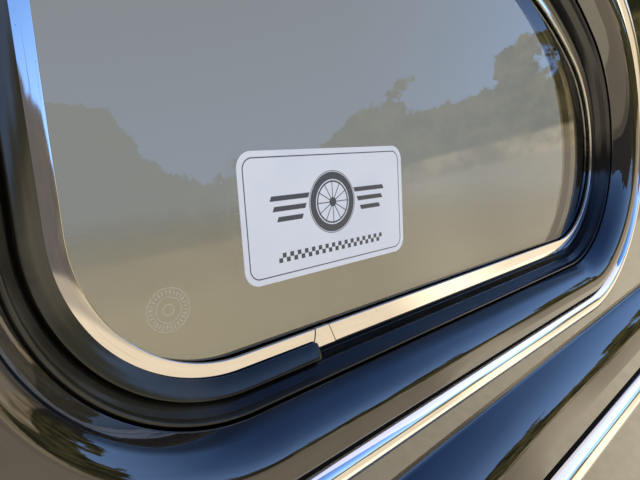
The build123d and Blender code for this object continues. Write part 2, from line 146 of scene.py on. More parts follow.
class Graph:
    """Writes the nodes of one tree."""

    def __init__(self, tree: bpy.types.NodeTree) -> None:
        """Keeps the tree to write in."""
        self.tree = tree

    def node(self, kind: str, sockets: dict | None = None, settings: dict | None = None) -> Node:
        """Adds a node, its settings first, then its sockets' values or links.

        Args:
            kind: the node's type.
            sockets: values, sockets or wires by the input's name or place.
            settings: its properties; "stops" holds a colour ramp's stops.

        Returns:
            The new node.
        """
        made = self.tree.nodes.new(kind)
        for name, value in (settings or {}).items():
            if name == "stops":
                self.fill_ramp(made.color_ramp, value)
            else:
                setattr(made, name, value)
        for name, value in (sockets or {}).items():
            self.plug(picked(made.inputs, name), value)
        return made

    def plug(self, target: Socket, value: object) -> None:
        """Links or sets an input.

        Args:
            target: the input.
            value: a wire, a socket or a plain value, such as a colour's three numbers.
        """
        if isinstance(value, Wire):
            value = value.socket
        if isinstance(value, Socket):
            self.tree.links.new(value, target)
        else:
            target.default_value = (*value, 1.0) if target.type == "RGBA" else value

    @staticmethod
    def fill_ramp(ramp: bpy.types.ColorRamp, stops: Sequence[tuple[float, Colour]]) -> None:
        """Sets a colour ramp's stops.

        Args:
            ramp: the ramp.
            stops: a place and a colour for each.
        """
        while len(ramp.elements) < len(stops):
            ramp.elements.new(1.0)
        for element, (place, colour) in zip(ramp.elements, stops):
            element.position = place
            element.color = (*colour, 1.0)

    def wire(self, made: Node, output: str | int = 0) -> Wire:
        """Output of a node, by its name or place, ready for sums."""
        return Wire(self, picked(made.outputs, output))

    def read(
        self,
        kind: str,
        output: str | int = 0,
        sockets: dict | None = None,
        settings: dict | None = None,
    ) -> Wire:
        """Adds a node and gives one of its outputs."""
        return self.wire(self.node(kind, sockets, settings), output)

    def math(self, operation: str, *values: Wire | float) -> Wire:
        """Adds a Math node on values or sockets."""
        return self.read("ShaderNodeMath", 0, dict(enumerate(values)), {"operation": operation})

    def mix(self, share: Wire | float, low: Wire | Colour, high: Wire | Colour) -> Wire:
        """Colour between two colours."""
        sockets = {"Factor": share, "A": low, "B": high}
        return self.read("ShaderNodeMix", "Result", sockets, {"data_type": "RGBA"})

    def vector(self, operation: str, *values: Wire | Sequence) -> Wire:
        """Adds a Vector Math node that gives a vector."""
        settings = {"operation": operation}
        return self.read("ShaderNodeVectorMath", 0, dict(enumerate(values)), settings)

    def join(self, x: Wire | float, y: Wire | float, z: Wire | float = 0.0) -> Wire:
        """Vector of three numbers."""
        return self.read("ShaderNodeCombineXYZ", 0, {0: x, 1: y, 2: z})

    def split(self, vector: Wire) -> tuple[Wire, Wire, Wire]:
        """Three numbers of a vector."""
        made = self.node("ShaderNodeSeparateXYZ", {0: vector})
        return self.wire(made, 0), self.wire(made, 1), self.wire(made, 2)

    def place(self) -> Wire:
        """Place on the object, in its own coordinates."""
        return self.read("ShaderNodeTexCoord", "Object")

    def attribute(self, name: str) -> Wire:
        """Number stored on the mesh under a name."""
        return self.read("ShaderNodeAttribute", "Fac", settings={"attribute_name": name})

    def least(self, a: Wire | float, b: Wire | float) -> Wire:
        """Smaller of two numbers."""
        return self.math("MINIMUM", a, b)

    def most(self, a: Wire | float, b: Wire | float) -> Wire:
        """Larger of two numbers."""
        return self.math("MAXIMUM", a, b)

    def length(self, x: Wire, z: Wire) -> Wire:
        """Length of a flat vector."""
        return self.math("SQRT", x * x + z * z)

    def turn(self, x: Wire, z: Wire) -> Wire:
        """Angle of a flat vector."""
        return self.math("ARCTAN2", z, x)

    def line(self, distance: Wire, half: float, soft: float) -> Wire:
        """1 within half a line's width of where a distance is 0, else 0."""
        return 1.0 - abs(distance).band(half - soft, half + soft)

    def rings(self, reach: Wire, lines: Sequence[Point], soft: float) -> Wire:
        """Sum of ring lines, each by its radius and half its width."""
        return sum(self.line(reach - radius, half, soft) for radius, half in lines)

    def bump(self, height: Wire, depth: float) -> Wire:
        """Bumped normal from a height between 0 and 1."""
        return self.read("ShaderNodeBump", 0, {"Height": height, "Distance": depth})

    def blend(self, share: Wire, low: Node, high: Node) -> Node:
        """Shader between two shaders."""
        sockets = {0: share, 1: low.outputs[0], 2: high.outputs[0]}
        return self.node("ShaderNodeMixShader", sockets)

    def show(self, shader: Node) -> None:
        """Makes a shader the material's surface."""
        self.plug(self.tree.nodes["Material Output"].inputs["Surface"], shader.outputs[0])


@dataclass(frozen=True)
class Grain:
    """Noise, by its scale, detail and roughness, cut to a band where it has one."""

    scale: float
    detail: float = 2.0
    rough: float = 0.5
    low: float = 0.0
    high: float = 0.0

    def at(self, graph: Graph, place: Wire) -> Wire:
        """Noise at a place.

        Args:
            graph: the graph to write in.
            place: where the noise is read.

        Returns:
            A number between 0 and 1.
        """
        sockets = {"Scale": self.scale, "Detail": self.detail, "Roughness": self.rough}
        noise = graph.read("ShaderNodeTexNoise", 0, {"Vector": place, **sockets})
        return noise.band(self.low, self.high) if self.high else noise

    def over(self, graph: Graph) -> Wire:
        """Noise over an object."""
        return self.at(graph, graph.place())


@dataclass(frozen=True)
class Streaks(Grain):
    """Noise drawn out along a swept piece, with a scale along and one across it."""

    along: float = 1.0
    across: float = 1.0

    def over(self, graph: Graph) -> Wire:
        """Noise over a swept piece, by its stored length and width."""
        along, across = graph.attribute("along"), graph.attribute("across")
        return self.at(graph, graph.join(along * self.along, across * self.across))


@dataclass(frozen=True)
class Finish:
    """A surface finish of the record, made as one procedural material."""

    name: str
    slot: str

    def sockets(self, graph: Graph) -> dict[str, object]:
        """What the shader's sockets hold, by name; each finish writes its own."""
        return {}

    def paint(self, graph: Graph, shader: Node) -> None:
        """Writes the finish's nodes into the shader's sockets."""
        for name, value in self.sockets(graph).items():
            graph.plug(picked(shader.inputs, name), value)

    def material(self) -> bpy.types.Material:
        """Material of the finish, made once.

        Returns:
            The material, by its name.
        """
        made = bpy.data.materials.get(self.name)
        if made is None:
            made = bpy.data.materials.new(self.name)
            made.use_nodes = True
            self.paint(Graph(made.node_tree), made.node_tree.nodes["Principled BSDF"])
        return made


@dataclass(frozen=True)
class BlackPaint(Finish):
    """Deep black gloss paint with a soft orange peel and a film of road dust."""

    name: str = "black_gloss_paint"
    slot: str = "body_paint"
    colour: Colour = (0.0045, 0.0048, 0.006)
    gloss: float = 0.016
    ior: float = 2.0
    dust_and_painted_reflection: Colour = (0.12, 0.10, 0.075)
    film: Grain = Grain(9.0, 4.0, 0.6, 0.35, 0.75)
    film_share: float = 0.05
    film_dull: float = 0.014
    specks: Grain = Grain(1100.0, 2.0, 0.6, 0.70, 0.76)
    speck_share: float = 0.12
    speck_dull: float = 0.05
    swirls: Grain = Grain(1.0)
    swirl_scale: Triple = (90.0, 90.0, 1100.0)
    swirl_dull: float = 0.008
    peel: Grain = Grain(240.0, 1.0, 0.4)
    peel_depth: float = 0.008 * MM

    def sockets(self, graph: Graph) -> dict[str, object]:
        """Black base under a clear gloss, with dust, fine swirls and orange peel.

        Args:
            graph: the material's graph.

        Returns:
            What its sockets hold, by name.
        """
        film, specks = self.film.over(graph), self.specks.over(graph)
        drawn_out = graph.vector("MULTIPLY", graph.place(), self.swirl_scale)
        swirls = self.swirls.at(graph, drawn_out) * self.swirl_dull
        dust_and_reflection_share = film * self.film_share + specks * self.speck_share
        return {
            "Base Color": graph.mix(dust_and_reflection_share, self.colour, self.dust_and_painted_reflection),
            "Roughness": self.gloss + film * self.film_dull + specks * self.speck_dull + swirls,
            "IOR": self.ior,
            "Normal": graph.bump(self.peel.over(graph), self.peel_depth),
        }


@dataclass(frozen=True)
class Rubber(Finish):
    """Smooth black window rubber, dressed until it shines."""

    name: str = "window_rubber"
    slot: str = "rubber"
    colour: Colour = (0.0045, 0.0048, 0.0055)
    gloss: float = 0.14
    ior: float = 1.5
    patches: Grain = Grain(30.0, 4.0, 0.55, 0.42, 0.8)
    bloom: Colour = (0.03, 0.028, 0.026)
    bloom_share: float = 0.3
    bloom_dull: float = 0.12
    # The tan colour and its run below are a painted reflection of trees and ground on the rubber's
    # front end, laid on in patches.
    dust_and_painted_reflection: Colour = (0.115, 0.105, 0.07)
    painted_reflection_run: Point = (-310 * MM, -220 * MM)
    painted_reflection_share: float = 0.25
    painted_reflection_patches: float = 0.2
    grain: Grain = Grain(1500.0, 3.0, 0.6)
    grain_depth: float = 0.008 * MM

    def sockets(self, graph: Graph) -> dict[str, object]:
        """Dark base, soft shine, faint grain, and pale tan patches towards the front that are a
        painted reflection of trees and ground.

        Args:
            graph: the material's graph.

        Returns:
            What its sockets hold, by name.
        """
        patches = self.patches.over(graph)
        # Painted reflection: pale tan patches towards the front stand in for the trees and ground
        # that the rubber reflects there.
        front = 1.0 - graph.split(graph.place())[0].band(*self.painted_reflection_run)
        plain = graph.mix(patches * self.bloom_share, self.colour, self.bloom)
        dust_and_reflection_share = front * (self.painted_reflection_share + patches * self.painted_reflection_patches)
        return {
            "Base Color": graph.mix(dust_and_reflection_share, plain, self.dust_and_painted_reflection),
            "Roughness": self.gloss + patches * self.bloom_dull,
            "IOR": self.ior,
            "Normal": graph.bump(self.grain.over(graph), self.grain_depth),
        }


@dataclass(frozen=True)
class PolishedSteel(Finish):
    """Polished stainless trim with fine scratches along its length and a few nicks."""

    name: str = "polished_stainless"
    slot: str = "bright_trim"
    colour: Colour = (0.85, 0.84, 0.82)
    gloss: float = 0.035
    fine: Grain = Streaks(1.0, 3.0, 0.6, along=9.0, across=3600.0)
    fine_dull: float = 0.045
    fine_depth: float = 0.0018 * MM
    worn: Grain = Streaks(1.0, 2.0, 0.5, 0.63, 0.69, 16.0, 1500.0)
    patchy: Grain = Streaks(1.0, 2.0, 0.5, 0.47, 0.62, 11.0, 160.0)
    scratch: Colour = (0.50, 0.31, 0.16)
    scratch_share: float = 0.5
    scratch_dull: float = 0.25
    nicks: Grain = Streaks(1.0, 1.0, 0.5, 0.765, 0.785, 420.0, 620.0)
    nick: Colour = (0.10, 0.075, 0.055)
    nick_share: float = 0.8
    nick_dull: float = 0.3
    nick_height: float = 3.0

    def sockets(self, graph: Graph) -> dict[str, object]:
        """Mirror metal whose scratches follow the stored length and width.

        Args:
            graph: the material's graph.

        Returns:
            What its sockets hold, by name.
        """
        fine, nicks = self.fine.over(graph), self.nicks.over(graph)
        marks = self.worn.over(graph) * self.patchy.over(graph) * self.scratch_share
        tone = graph.mix(marks, self.colour, self.scratch)
        dull = fine * self.fine_dull + marks * self.scratch_dull + nicks * self.nick_dull
        return {
            "Base Color": graph.mix(nicks * self.nick_share, tone, self.nick),
            "Metallic": 1.0,
            "Roughness": self.gloss + dull,
            "Normal": graph.bump(fine + nicks * self.nick_height, self.fine_depth),
        }


@dataclass(frozen=True)
class PlatedGarnish(Finish):
    """Dulled bright plating of the inner garnish moulding."""

    name: str = "plated_garnish"
    slot: str = "garnish"
    colour: Colour = (0.68, 0.66, 0.62)
    gloss: float = 0.12
    fine: Grain = Streaks(1.0, 3.0, 0.6, along=12.0, across=1800.0)
    fine_dull: float = 0.05
    fine_depth: float = 0.003 * MM
    tarnish: Grain = Grain(26.0, 4.0, 0.6, 0.4, 0.75)
    tarnished: Colour = (0.50, 0.46, 0.40)
    tarnish_share: float = 0.6
    tarnish_dull: float = 0.08

    def sockets(self, graph: Graph) -> dict[str, object]:
        """Metal with a fine brushing and soft tarnish.

        Args:
            graph: the material's graph.

        Returns:
            What its sockets hold, by name.
        """
        fine, tarnish = self.fine.over(graph), self.tarnish.over(graph)
        return {
            "Base Color": graph.mix(tarnish * self.tarnish_share, self.colour, self.tarnished),
            "Metallic": 1.0,
            "Roughness": self.gloss + tarnish * self.tarnish_dull + fine * self.fine_dull,
            "Normal": graph.bump(fine, self.fine_depth),
        }


@dataclass(frozen=True)
class PrimedSteel(Finish):
    """Satin dark primer on pressed sheet."""

    name: str = "primed_sheet"
    slot: str = "primed_steel"
    colour: Colour = (0.075, 0.072, 0.07)
    dull: float = 0.42
    grain: Grain = Grain(900.0, 3.0, 0.6)
    grain_dull: float = 0.12
    grain_depth: float = 0.02 * MM
    rubbed: Grain = Grain(14.0, 5.0, 0.6, 0.5, 0.72)
    rubbed_colour: Colour = (0.13, 0.12, 0.11)
    rubbed_share: float = 0.6
    rubbed_gloss: float = 0.08

    def sockets(self, graph: Graph) -> dict[str, object]:
        """Dark primer with overspray grain and rubbed patches.

        Args:
            graph: the material's graph.

        Returns:
            What its sockets hold, by name.
        """
        grain, rubbed = self.grain.over(graph), self.rubbed.over(graph)
        return {
            "Base Color": graph.mix(rubbed * self.rubbed_share, self.colour, self.rubbed_colour),
            "Roughness": self.dull + grain * self.grain_dull - rubbed * self.rubbed_gloss,
            "Normal": graph.bump(grain, self.grain_depth),
        }


@dataclass(frozen=True)
class TintedGlass(Finish):
    """Flat safety glass: a grey tint, a clean reflection and a plain etched ring.

    The ring's sizes are in millimetres: a radius and half a width for each line.
    """

    name: str = "quarter_glass"
    slot: str = "window_glass"
    mark: Vector = field(default_factory=Vector)
    tint: Colour = (0.555, 0.545, 0.505)
    gloss: Colour = (0.94, 0.97, 1.0)
    base_share: float = 0.045
    falloff: float = 5.0
    frost: Colour = (0.75, 0.75, 0.72)
    frost_share: float = 0.27
    face_depth: Point = (0.4 * MM, 0.1 * MM)
    rings: tuple[Point, ...] = ((2.6, 0.28), (10.2, 0.25), (6.0, 0.2))
    tick_ring: Point = (8.2, 1.0)
    ticks: int = 28
    tick_edge: Point = (0.1, 0.5)
    soft: float = 0.15

    def etching(self, graph: Graph) -> Wire:
        """Thin rings about a core, with ticks between them, on the outer face.

        Args:
            graph: the material's graph.

        Returns:
            1 on the etching, 0 elsewhere.
        """
        x, y, z = graph.split(graph.vector("SUBTRACT", graph.place(), tuple(self.mark)))
        x, z = x / MM, z / MM
        reach = graph.length(x, z)
        dashes = (graph.turn(x, z) * self.ticks).math("COSINE").band(*self.tick_edge)
        drawn = dashes * graph.rings(reach, [self.tick_ring], self.soft)
        drawn = drawn + graph.rings(reach, self.rings, self.soft)
        return graph.line(y, *self.face_depth) * graph.least(drawn, 1.0)

    def paint(self, graph: Graph, shader: Node) -> None:
        """Clear tint mixed with a mirror by the angle of view, then the etching.

        Args:
            graph: the material's graph.
            shader: the plain shader, which goes.
        """
        facing = graph.read("ShaderNodeLayerWeight", "Facing", {"Blend": 0.5})
        share = self.base_share + (1.0 - self.base_share) * facing**self.falloff
        clear = graph.node("ShaderNodeBsdfTransparent", {"Color": self.tint})
        sockets = {"Color": self.gloss, "Roughness": 0.0}
        mirror = graph.node("ShaderNodeBsdfGlossy", sockets)
        frost = graph.node("ShaderNodeBsdfDiffuse", {"Color": self.frost})
        pane = graph.blend(share, clear, mirror)
        graph.show(graph.blend(self.etching(graph) * self.frost_share, pane, frost))
        graph.tree.nodes.remove(shader)


@dataclass(frozen=True)
class PrintedVinyl(Finish):
    """White sticker with a plain dark print: a spoked wheel, speed bars and a chequered line.

    The print's sizes are in millimetres: a radius or level and half a width for each line.
    """

    name: str = "printed_sticker"
    slot: str = "sticker"
    middle: Vector = field(default_factory=Vector)
    fall: float = 0.0
    half_size: Point = (63.5, 34.7)
    vinyl: Colour = (0.87, 0.89, 0.98)
    sheen: Colour = (0.80, 0.83, 0.95)
    drift: Grain = Grain(16.0, 3.0, 0.5, 0.35, 0.7)
    dull: float = 0.30
    wear: Grain = Grain(1400.0, 3.0, 0.65)
    wear_dull: float = 0.10
    wear_height: float = 0.3
    ink: Colour = (0.045, 0.048, 0.060)
    ink_share: float = 0.90
    ink_gloss: float = 0.08
    ink_depth: float = 0.02 * MM
    front_edge: Point = (0.5, 0.6)
    soft: float = 0.12
    wheel_rise: float = 4.0
    wheel_rings: tuple[Point, ...] = ((15.2, 2.1), (11.9, 0.5), (17.9, 0.22), (0.0, 2.7))
    spokes: int = 12
    spoke_half: float = 0.28
    spoke_run: Triple = (7.6, 5.0, 0.2)
    bar_levels: tuple[Point, ...] = ((5.6, 47.0), (0.0, 43.0), (-5.6, 38.0))
    bar_start: float = 20.5
    bar_half: float = 1.35
    bar_slant: float = 0.45
    square: float = 2.6
    line_drop: float = 22.4
    line_half: float = 41.6
    key_inset: float = 3.4
    key_radius: float = 6.0
    key_half: float = 0.32

    def wheel(self, graph: Graph, x: Wire, z: Wire) -> Wire:
        """Wheel with a tyre, spokes and a hub.

        Args:
            graph: the material's graph.
            x: place along the sticker, from the wheel's middle.
            z: place up it.

        Returns:
            1 on the print, 0 elsewhere.
        """
        reach = graph.length(x, z)
        half_count = self.spokes / 2
        across = reach * (graph.turn(x, z) * half_count).math("SINE") / half_count
        radius, half, soft = self.spoke_run
        run = graph.line(reach - radius, half, soft)
        spokes = graph.line(across, self.spoke_half, self.soft) * run
        return spokes + graph.rings(reach, self.wheel_rings, self.soft)

    def bars(self, graph: Graph, x: Wire, z: Wire) -> Wire:
        """Slanted bars on either side, shorter towards the bottom.

        Args:
            graph: the material's graph.
            x: place along the sticker, from the wheel's middle.
            z: place up it.

        Returns:
            1 on the print, 0 elsewhere.
        """
        outwards = abs(x) + z * self.bar_slant
        drawn = 0.0
        for level, reach in self.bar_levels:
            middle, half = (self.bar_start + reach) / 2, (reach - self.bar_start) / 2
            run = graph.line(outwards - middle, half, self.soft)
            drawn = run * graph.line(z - level, self.bar_half, self.soft) + drawn
        return drawn

    def chequers(self, graph: Graph, x: Wire, z: Wire) -> Wire:
        """Line of two rows of squares.

        Args:
            graph: the material's graph.
            x: place along the sticker.
            z: place up it, from the line's middle.

        Returns:
            1 on the print, 0 elsewhere.
        """
        whole_cells = 100.0
        cells = graph.join(x / self.square + whole_cells, z / self.square + whole_cells, 0.5)
        sockets = {"Vector": cells, "Scale": 1.0}
        squares = graph.read("ShaderNodeTexChecker", "Fac", sockets)
        run = graph.line(x, self.line_half, self.soft)
        return squares * run * graph.line(z, self.square, self.soft)

    def drawing(self, graph: Graph) -> Wire:
        """The whole print, laid out about the sticker's middle, on its front alone.

        Args:
            graph: the material's graph.

        Returns:
            1 on the print, 0 elsewhere.
        """
        offset = graph.vector("SUBTRACT", graph.place(), tuple(self.middle))
        row_x, _, row_z = graph.split(offset)
        c, s = math.cos(self.fall) / MM, math.sin(self.fall) / MM
        x = row_x * c - row_z * s
        z = row_x * s + row_z * c
        raised = z - self.wheel_rise
        half_x, half_z = (size - self.key_inset - self.key_radius for size in self.half_size)
        over_x, over_z = graph.most(abs(x) - half_x, 0.0), graph.most(abs(z) - half_z, 0.0)
        edge = graph.length(over_x, over_z) - self.key_radius
        drawn = self.wheel(graph, x, raised) + self.bars(graph, x, raised)
        drawn = drawn + self.chequers(graph, x, z + self.line_drop)
        drawn = drawn + graph.line(edge, self.key_half, self.soft)
        _, facing, _ = graph.split(graph.read("ShaderNodeTexCoord", "Normal"))
        return (0.0 - facing).band(*self.front_edge) * graph.least(drawn, 1.0)

    def sockets(self, graph: Graph) -> dict[str, object]:
        """Dark print on lightly worn vinyl.

        Args:
            graph: the material's graph.

        Returns:
            What its sockets hold, by name.
        """
        ink, wear = self.drawing(graph), self.wear.over(graph)
        base = graph.mix(self.drift.over(graph), self.vinyl, self.sheen)
        worn_ink = ink * (self.ink_share + wear * (1.0 - self.ink_share))
        return {
            "Base Color": graph.mix(worn_ink, base, self.ink),
            "Roughness": self.dull + wear * self.wear_dull - ink * self.ink_gloss,
            "Normal": graph.bump(wear * self.wear_height + ink, self.ink_depth),
        }


@dataclass(frozen=True)
class Backed(Finish):
    """Plain finish with a grain, for the boards, cloth, piping and bedding."""

    colour: Colour = (0.5, 0.5, 0.5)
    shade: Colour = (0.4, 0.4, 0.4)
    grain_scale: float = 900.0
    grain_depth: float = 0.1 * MM
    dull: float = 0.7
    sheen: float = 0.0
    ior: float = 1.5
    drift: Grain = Grain(7.0, 4.0, 0.6, 0.3, 0.75)
    drift_share: float = 0.7
    grain_dull: float = 0.12

    def sockets(self, graph: Graph) -> dict[str, object]:
        """Colour that varies softly over a fine grain.

        Args:
            graph: the material's graph.

        Returns:
            What its sockets hold, by name.
        """
        grain = Grain(self.grain_scale, 4.0, 0.65).over(graph)
        drift = self.drift.over(graph) * self.drift_share + grain * (1.0 - self.drift_share)
        return {
            "Base Color": graph.mix(drift, self.colour, self.shade),
            "Roughness": self.dull + grain * self.grain_dull,
            "Sheen Weight": self.sheen,
            "IOR": self.ior,
            "Normal": graph.bump(grain, self.grain_depth),
        }


PAINT = BlackPaint()
RUBBER = Rubber()
BRIGHT = PolishedSteel()
GARNISH = PlatedGarnish()
PRIMER = PrimedSteel()
VINYL = Backed(
    "cream_vinyl", "cream_vinyl", (0.62, 0.54, 0.37), (0.50, 0.42, 0.27),
    grain_depth=0.08 * MM, dull=0.42,
)
CLOTH = Backed(
    "grey_headlining", "lining_cloth", (0.58, 0.57, 0.54), (0.47, 0.46, 0.43),
    grain_scale=1600.0, grain_depth=0.2 * MM, dull=0.85, sheen=0.3,
)
PIPING = Backed(
    "burgundy_piping", "piping_vinyl", (0.20, 0.028, 0.035), (0.12, 0.014, 0.02), dull=0.4
)
BEDDING = Backed(
    "black_bedding", "rubber", (0.004, 0.004, 0.004), (0.008, 0.007, 0.006),
    grain_depth=0.05 * MM, dull=0.8, ior=1.15,
)
THREAD = Backed(
    "cream_thread", "cream_vinyl", (0.70, 0.63, 0.47), (0.55, 0.47, 0.32), grain_scale=2600.0
)


@dataclass
class Outline:
    """The window's edge in the plane of the glass, and what runs round it."""

    width: float = 536 * MM
    height: float = 249 * MM
    fall: float = math.radians(2.2)
    roof_slope: float = math.radians(35)
    front_lower: float = 72 * MM
    front_upper: float = 62 * MM
    rear_lower: float = 76 * MM
    rear_upper: float = 122 * MM
    short_straight: float = 1 * MM
    glass_overlap: float = 9 * MM
    aperture: float = 28 * MM
    lap: float = 1.2 * MM
    rim: float = 4 * MM
    frame_reach: tuple[float, ...] = tuple(reach * MM for reach in (60, 59.5, 53, 62, 57, 57))
    curve_reach: tuple[float, ...] = tuple(reach * MM for reach in (51, 54.5, 53, 62, 57, 56))
    arc_steps: int = 36
    line_steps: int = 6
    centre: Vector = field(default_factory=Vector)

    def settle(self) -> None:
        """Finds the outline's place from the CAD glass, whose edge lies outside it."""
        low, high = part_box("glass")
        ring = self.ring(self.glass_overlap)
        own_x = (min(p.x for p in ring) + max(p.x for p in ring)) / 2
        own_z = (min(p.z for p in ring) + max(p.z for p in ring)) / 2
        middle = (low + high) / 2
        self.centre = Vector((middle.x - own_x, low.y, middle.z - own_z))

    def put(self, x: float, z: float, proud: float) -> Vector:
        """Point to the rear of the window's middle, up from it and outboard of the glass."""
        c, s = math.cos(self.fall), math.sin(self.fall)
        return self.centre + Vector((x * c + z * s, -proud, z * c - x * s))

    def ring(self, out: float, proud: float = 0.0) -> list[Vector]:
        """Points of the outline at an even distance outside the window's edge, in place."""
        return [self.put(x, z, proud) for x, z in self.even(out)]

    def flat(self, spot: Vector) -> Point:
        """Distances of a point to the rear of the window's middle and up from it."""
        offset, c, s = spot - self.centre, math.cos(self.fall), math.sin(self.fall)
        return offset.x * c - offset.z * s, offset.x * s + offset.z * c

    @staticmethod
    def meet(a: Point, angle_a: float, b: Point, angle_b: float) -> Point:
        """Crossing of two lines.

        Args:
            a: a point of the first line.
            angle_a: its angle.
            b: a point of the second line.
            angle_b: its angle.

        Returns:
            The crossing.
        """
        ax, az = math.cos(angle_a), math.sin(angle_a)
        bx, bz = math.cos(angle_b), math.sin(angle_b)
        along = ((b[0] - a[0]) * bz - (b[1] - a[1]) * bx) / (ax * bz - az * bx)
        return a[0] + along * ax, a[1] + along * az

    def loop(self, reach: Sequence[float]) -> list[Point]:
        """Closed outline of five lines and arcs outside the window's edge.

        Args:
            reach: distances at the front, lower front, lower rear, rear, slope and top.

        Returns:
            Points from the front lower corner on, matched from loop to loop.
        """
        front, low_front, low_rear, rear, slope, top = reach
        half_w, half_h = self.width / 2, self.height / 2
        lean = QUARTER_TURN - self.roof_slope
        touch = self.rear_upper + slope
        on_slope = (
            half_w - self.rear_upper + touch * math.cos(lean),
            -half_h + self.rear_lower + self.short_straight + touch * math.sin(lean),
        )
        tilt = math.atan2(low_front - low_rear, self.width)
        front_line = (-half_w - front, 0), QUARTER_TURN
        rear_line = (half_w + rear, 0), QUARTER_TURN
        low_line = (-half_w, -half_h - low_front), tilt
        slope_line = on_slope, -self.roof_slope
        top_line = (0, half_h + top), 0
        turns = ((front_line, low_line), (rear_line, low_line), (rear_line, slope_line))
        turns += ((top_line, slope_line), (top_line, front_line))
        corners = [self.meet(*one, *other) for one, other in turns]
        lower = self.rear_lower + min(low_rear, rear)
        rear_turn = math.tan((QUARTER_TURN - self.roof_slope) / 2)
        roof_turn = math.tan(self.roof_slope / 2)
        rear_run = math.dist(corners[1], corners[2]) - lower * math.tan((QUARTER_TURN - tilt) / 2)
        upper = (rear_run - self.short_straight) / rear_turn
        roof_run = math.dist(corners[2], corners[3]) - upper * rear_turn
        roof = (roof_run - self.short_straight) / roof_turn
        radii = [self.front_lower + min(front, low_front), lower, upper, roof]
        return self.rounded(corners, [*radii, self.front_upper + min(front, top)])

    def rounded(self, corners: Sequence[Point], radii: Sequence[float]) -> list[Point]:
        """Points of a closed polygon with rounded corners.

        Args:
            corners: its corners, counterclockwise.
            radii: one radius for each.

        Returns:
            Arc points, then the points of the straight run that follows, in turn.
        """
        arcs = []
        for i, (corner, radius) in enumerate(zip(corners, radii)):
            here = Vector(corner)
            back = (Vector(corners[i - 1]) - here).normalized()
            ahead = (Vector(corners[(i + 1) % len(corners)]) - here).normalized()
            half = back.angle(ahead) / 2
            middle = here + (back + ahead).normalized() * (radius / math.sin(half))
            start = here + back * (radius / math.tan(half)) - middle
            turn = math.pi - 2 * half
            steps = range(self.arc_steps + 1)
            arcs.append([middle + turned(start, turn * step / self.arc_steps) for step in steps])
        points = []
        for i, arc in enumerate(arcs):
            after = arcs[(i + 1) % len(arcs)][0]
            points += arc
            steps = range(1, self.line_steps)
            points += [arc[-1].lerp(after, step / self.line_steps) for step in steps]
        return [(p.x, p.y) for p in points]

    def even(self, out: float) -> list[Point]:
        """Outline at an even distance outside the window's edge."""
        return self.loop([out] * 6)

    def band(self, share: float, out: float) -> list[Point]:
        """Outline from the painted edge, at 0, to the raised frame's rim, at 1, grown by out."""
        edge = self.aperture - self.lap
        reaches = [edge + share * (reach - self.rim - edge) + out for reach in self.curve_reach]
        return self.loop(reaches)

    def frame_ring(self, out: float) -> list[Point]:
        """Outline of the raised frame, grown by a distance."""
        return self.loop([reach + out for reach in self.frame_reach])


def turned(vector: Vector, angle: float) -> Vector:
    """Flat vector turned counterclockwise by an angle."""
    c, s = math.cos(angle), math.sin(angle)
    return Vector((vector.x * c - vector.y * s, vector.x * s + vector.y * c))


def soften(corners: Sequence[tuple], step: float = math.radians(12)) -> list[Point]:
    """Closed section with rounded corners.

    Args:
        corners: x, y and radius of each corner.
        step: greatest turn between two points of an arc.

    Returns:
        The section's points.
    """
    most = 0.49
    points = []
    for i, (x, y, radius) in enumerate(corners):
        here = Vector((x, y))
        if radius <= 0:
            points.append((x, y))
            continue
        back = Vector(corners[i - 1][:2]) - here
        ahead = Vector(corners[(i + 1) % len(corners)][:2]) - here
        half = back.angle(ahead) / 2
        reach = min(radius / math.tan(half), most * back.length, most * ahead.length)
        true_radius = reach * math.tan(half)
        start = here + back.normalized() * reach
        between = (back.normalized() + ahead.normalized()).normalized()
        middle = here + between * (true_radius / math.sin(half))
        turn = (math.pi - 2 * half) * (1 if back.x * ahead.y - back.y * ahead.x < 0 else -1)
        steps = max(2, math.ceil(abs(turn) / step))
        for part in range(steps + 1):
            spot = middle + turned(start - middle, turn * part / steps)
            points.append((spot.x, spot.y))
    return points


def clamped(value: float) -> float:
    """Value held between 0 and 1."""
    return max(0.0, min(1.0, value))


def crowned(left: Point, right: Point, rise: float, steps: int = 14) -> list[Point]:
    """Points of an arc, ends included.

    Args:
        left: its start.
        right: its end.
        rise: how far its middle stands above the line between them.
        steps: parts to divide it in.

    Returns:
        The points from left to right.
    """
    a, b = Vector(left), Vector(right)
    half = (b - a).length / 2
    radius = (half * half + rise * rise) / (2 * rise)
    along = (b - a).normalized()
    up = Vector((-along.y, along.x))
    middle = (a + b) / 2 + up * (rise - radius)
    sweep = 2 * math.asin(min(1.0, half / radius))
    start = a - middle
    points = [middle + turned(start, -sweep * step / steps) for step in range(steps + 1)]
    return [(p.x, p.y) for p in points]


def straight(points: Iterable[Point]) -> list[Triple]:
    """Corners without a radius, for soften."""
    return [(x, y, 0.0) for x, y in points]


def linked(name: str, data: bpy.types.ID) -> Piece:
    """New object in the scene's collection."""
    made = bpy.data.objects.new(name, data)
    bpy.context.scene.collection.objects.link(made)
    return made


def line_of_edges(name: str, points: Iterable[Vector], closed: bool) -> Piece:
    """Object whose mesh is one line of edges.

    Args:
        name: the object's name.
        points: the line's points.
        closed: whether the last joins the first.

    Returns:
        The object.
    """
    points = [tuple(p) for p in points]
    edges = [(i, i + 1) for i in range(len(points) - 1)]
    if closed:
        edges.append((len(points) - 1, 0))
    mesh = bpy.data.meshes.new(name)
    mesh.from_pydata(points, edges, [])
    return linked(name, mesh)


def outward(mesh: bpy.types.Mesh) -> None:
    """Turns a closed mesh's faces so that they point outwards.

    Args:
        mesh: the mesh.
    """
    work = bmesh.new()
    work.from_mesh(mesh)
    bmesh.ops.recalc_face_normals(work, faces=work.faces)
    if work.calc_volume(signed=True) < 0:
        bmesh.ops.reverse_faces(work, faces=work.faces)
    work.to_mesh(mesh)
    work.free()


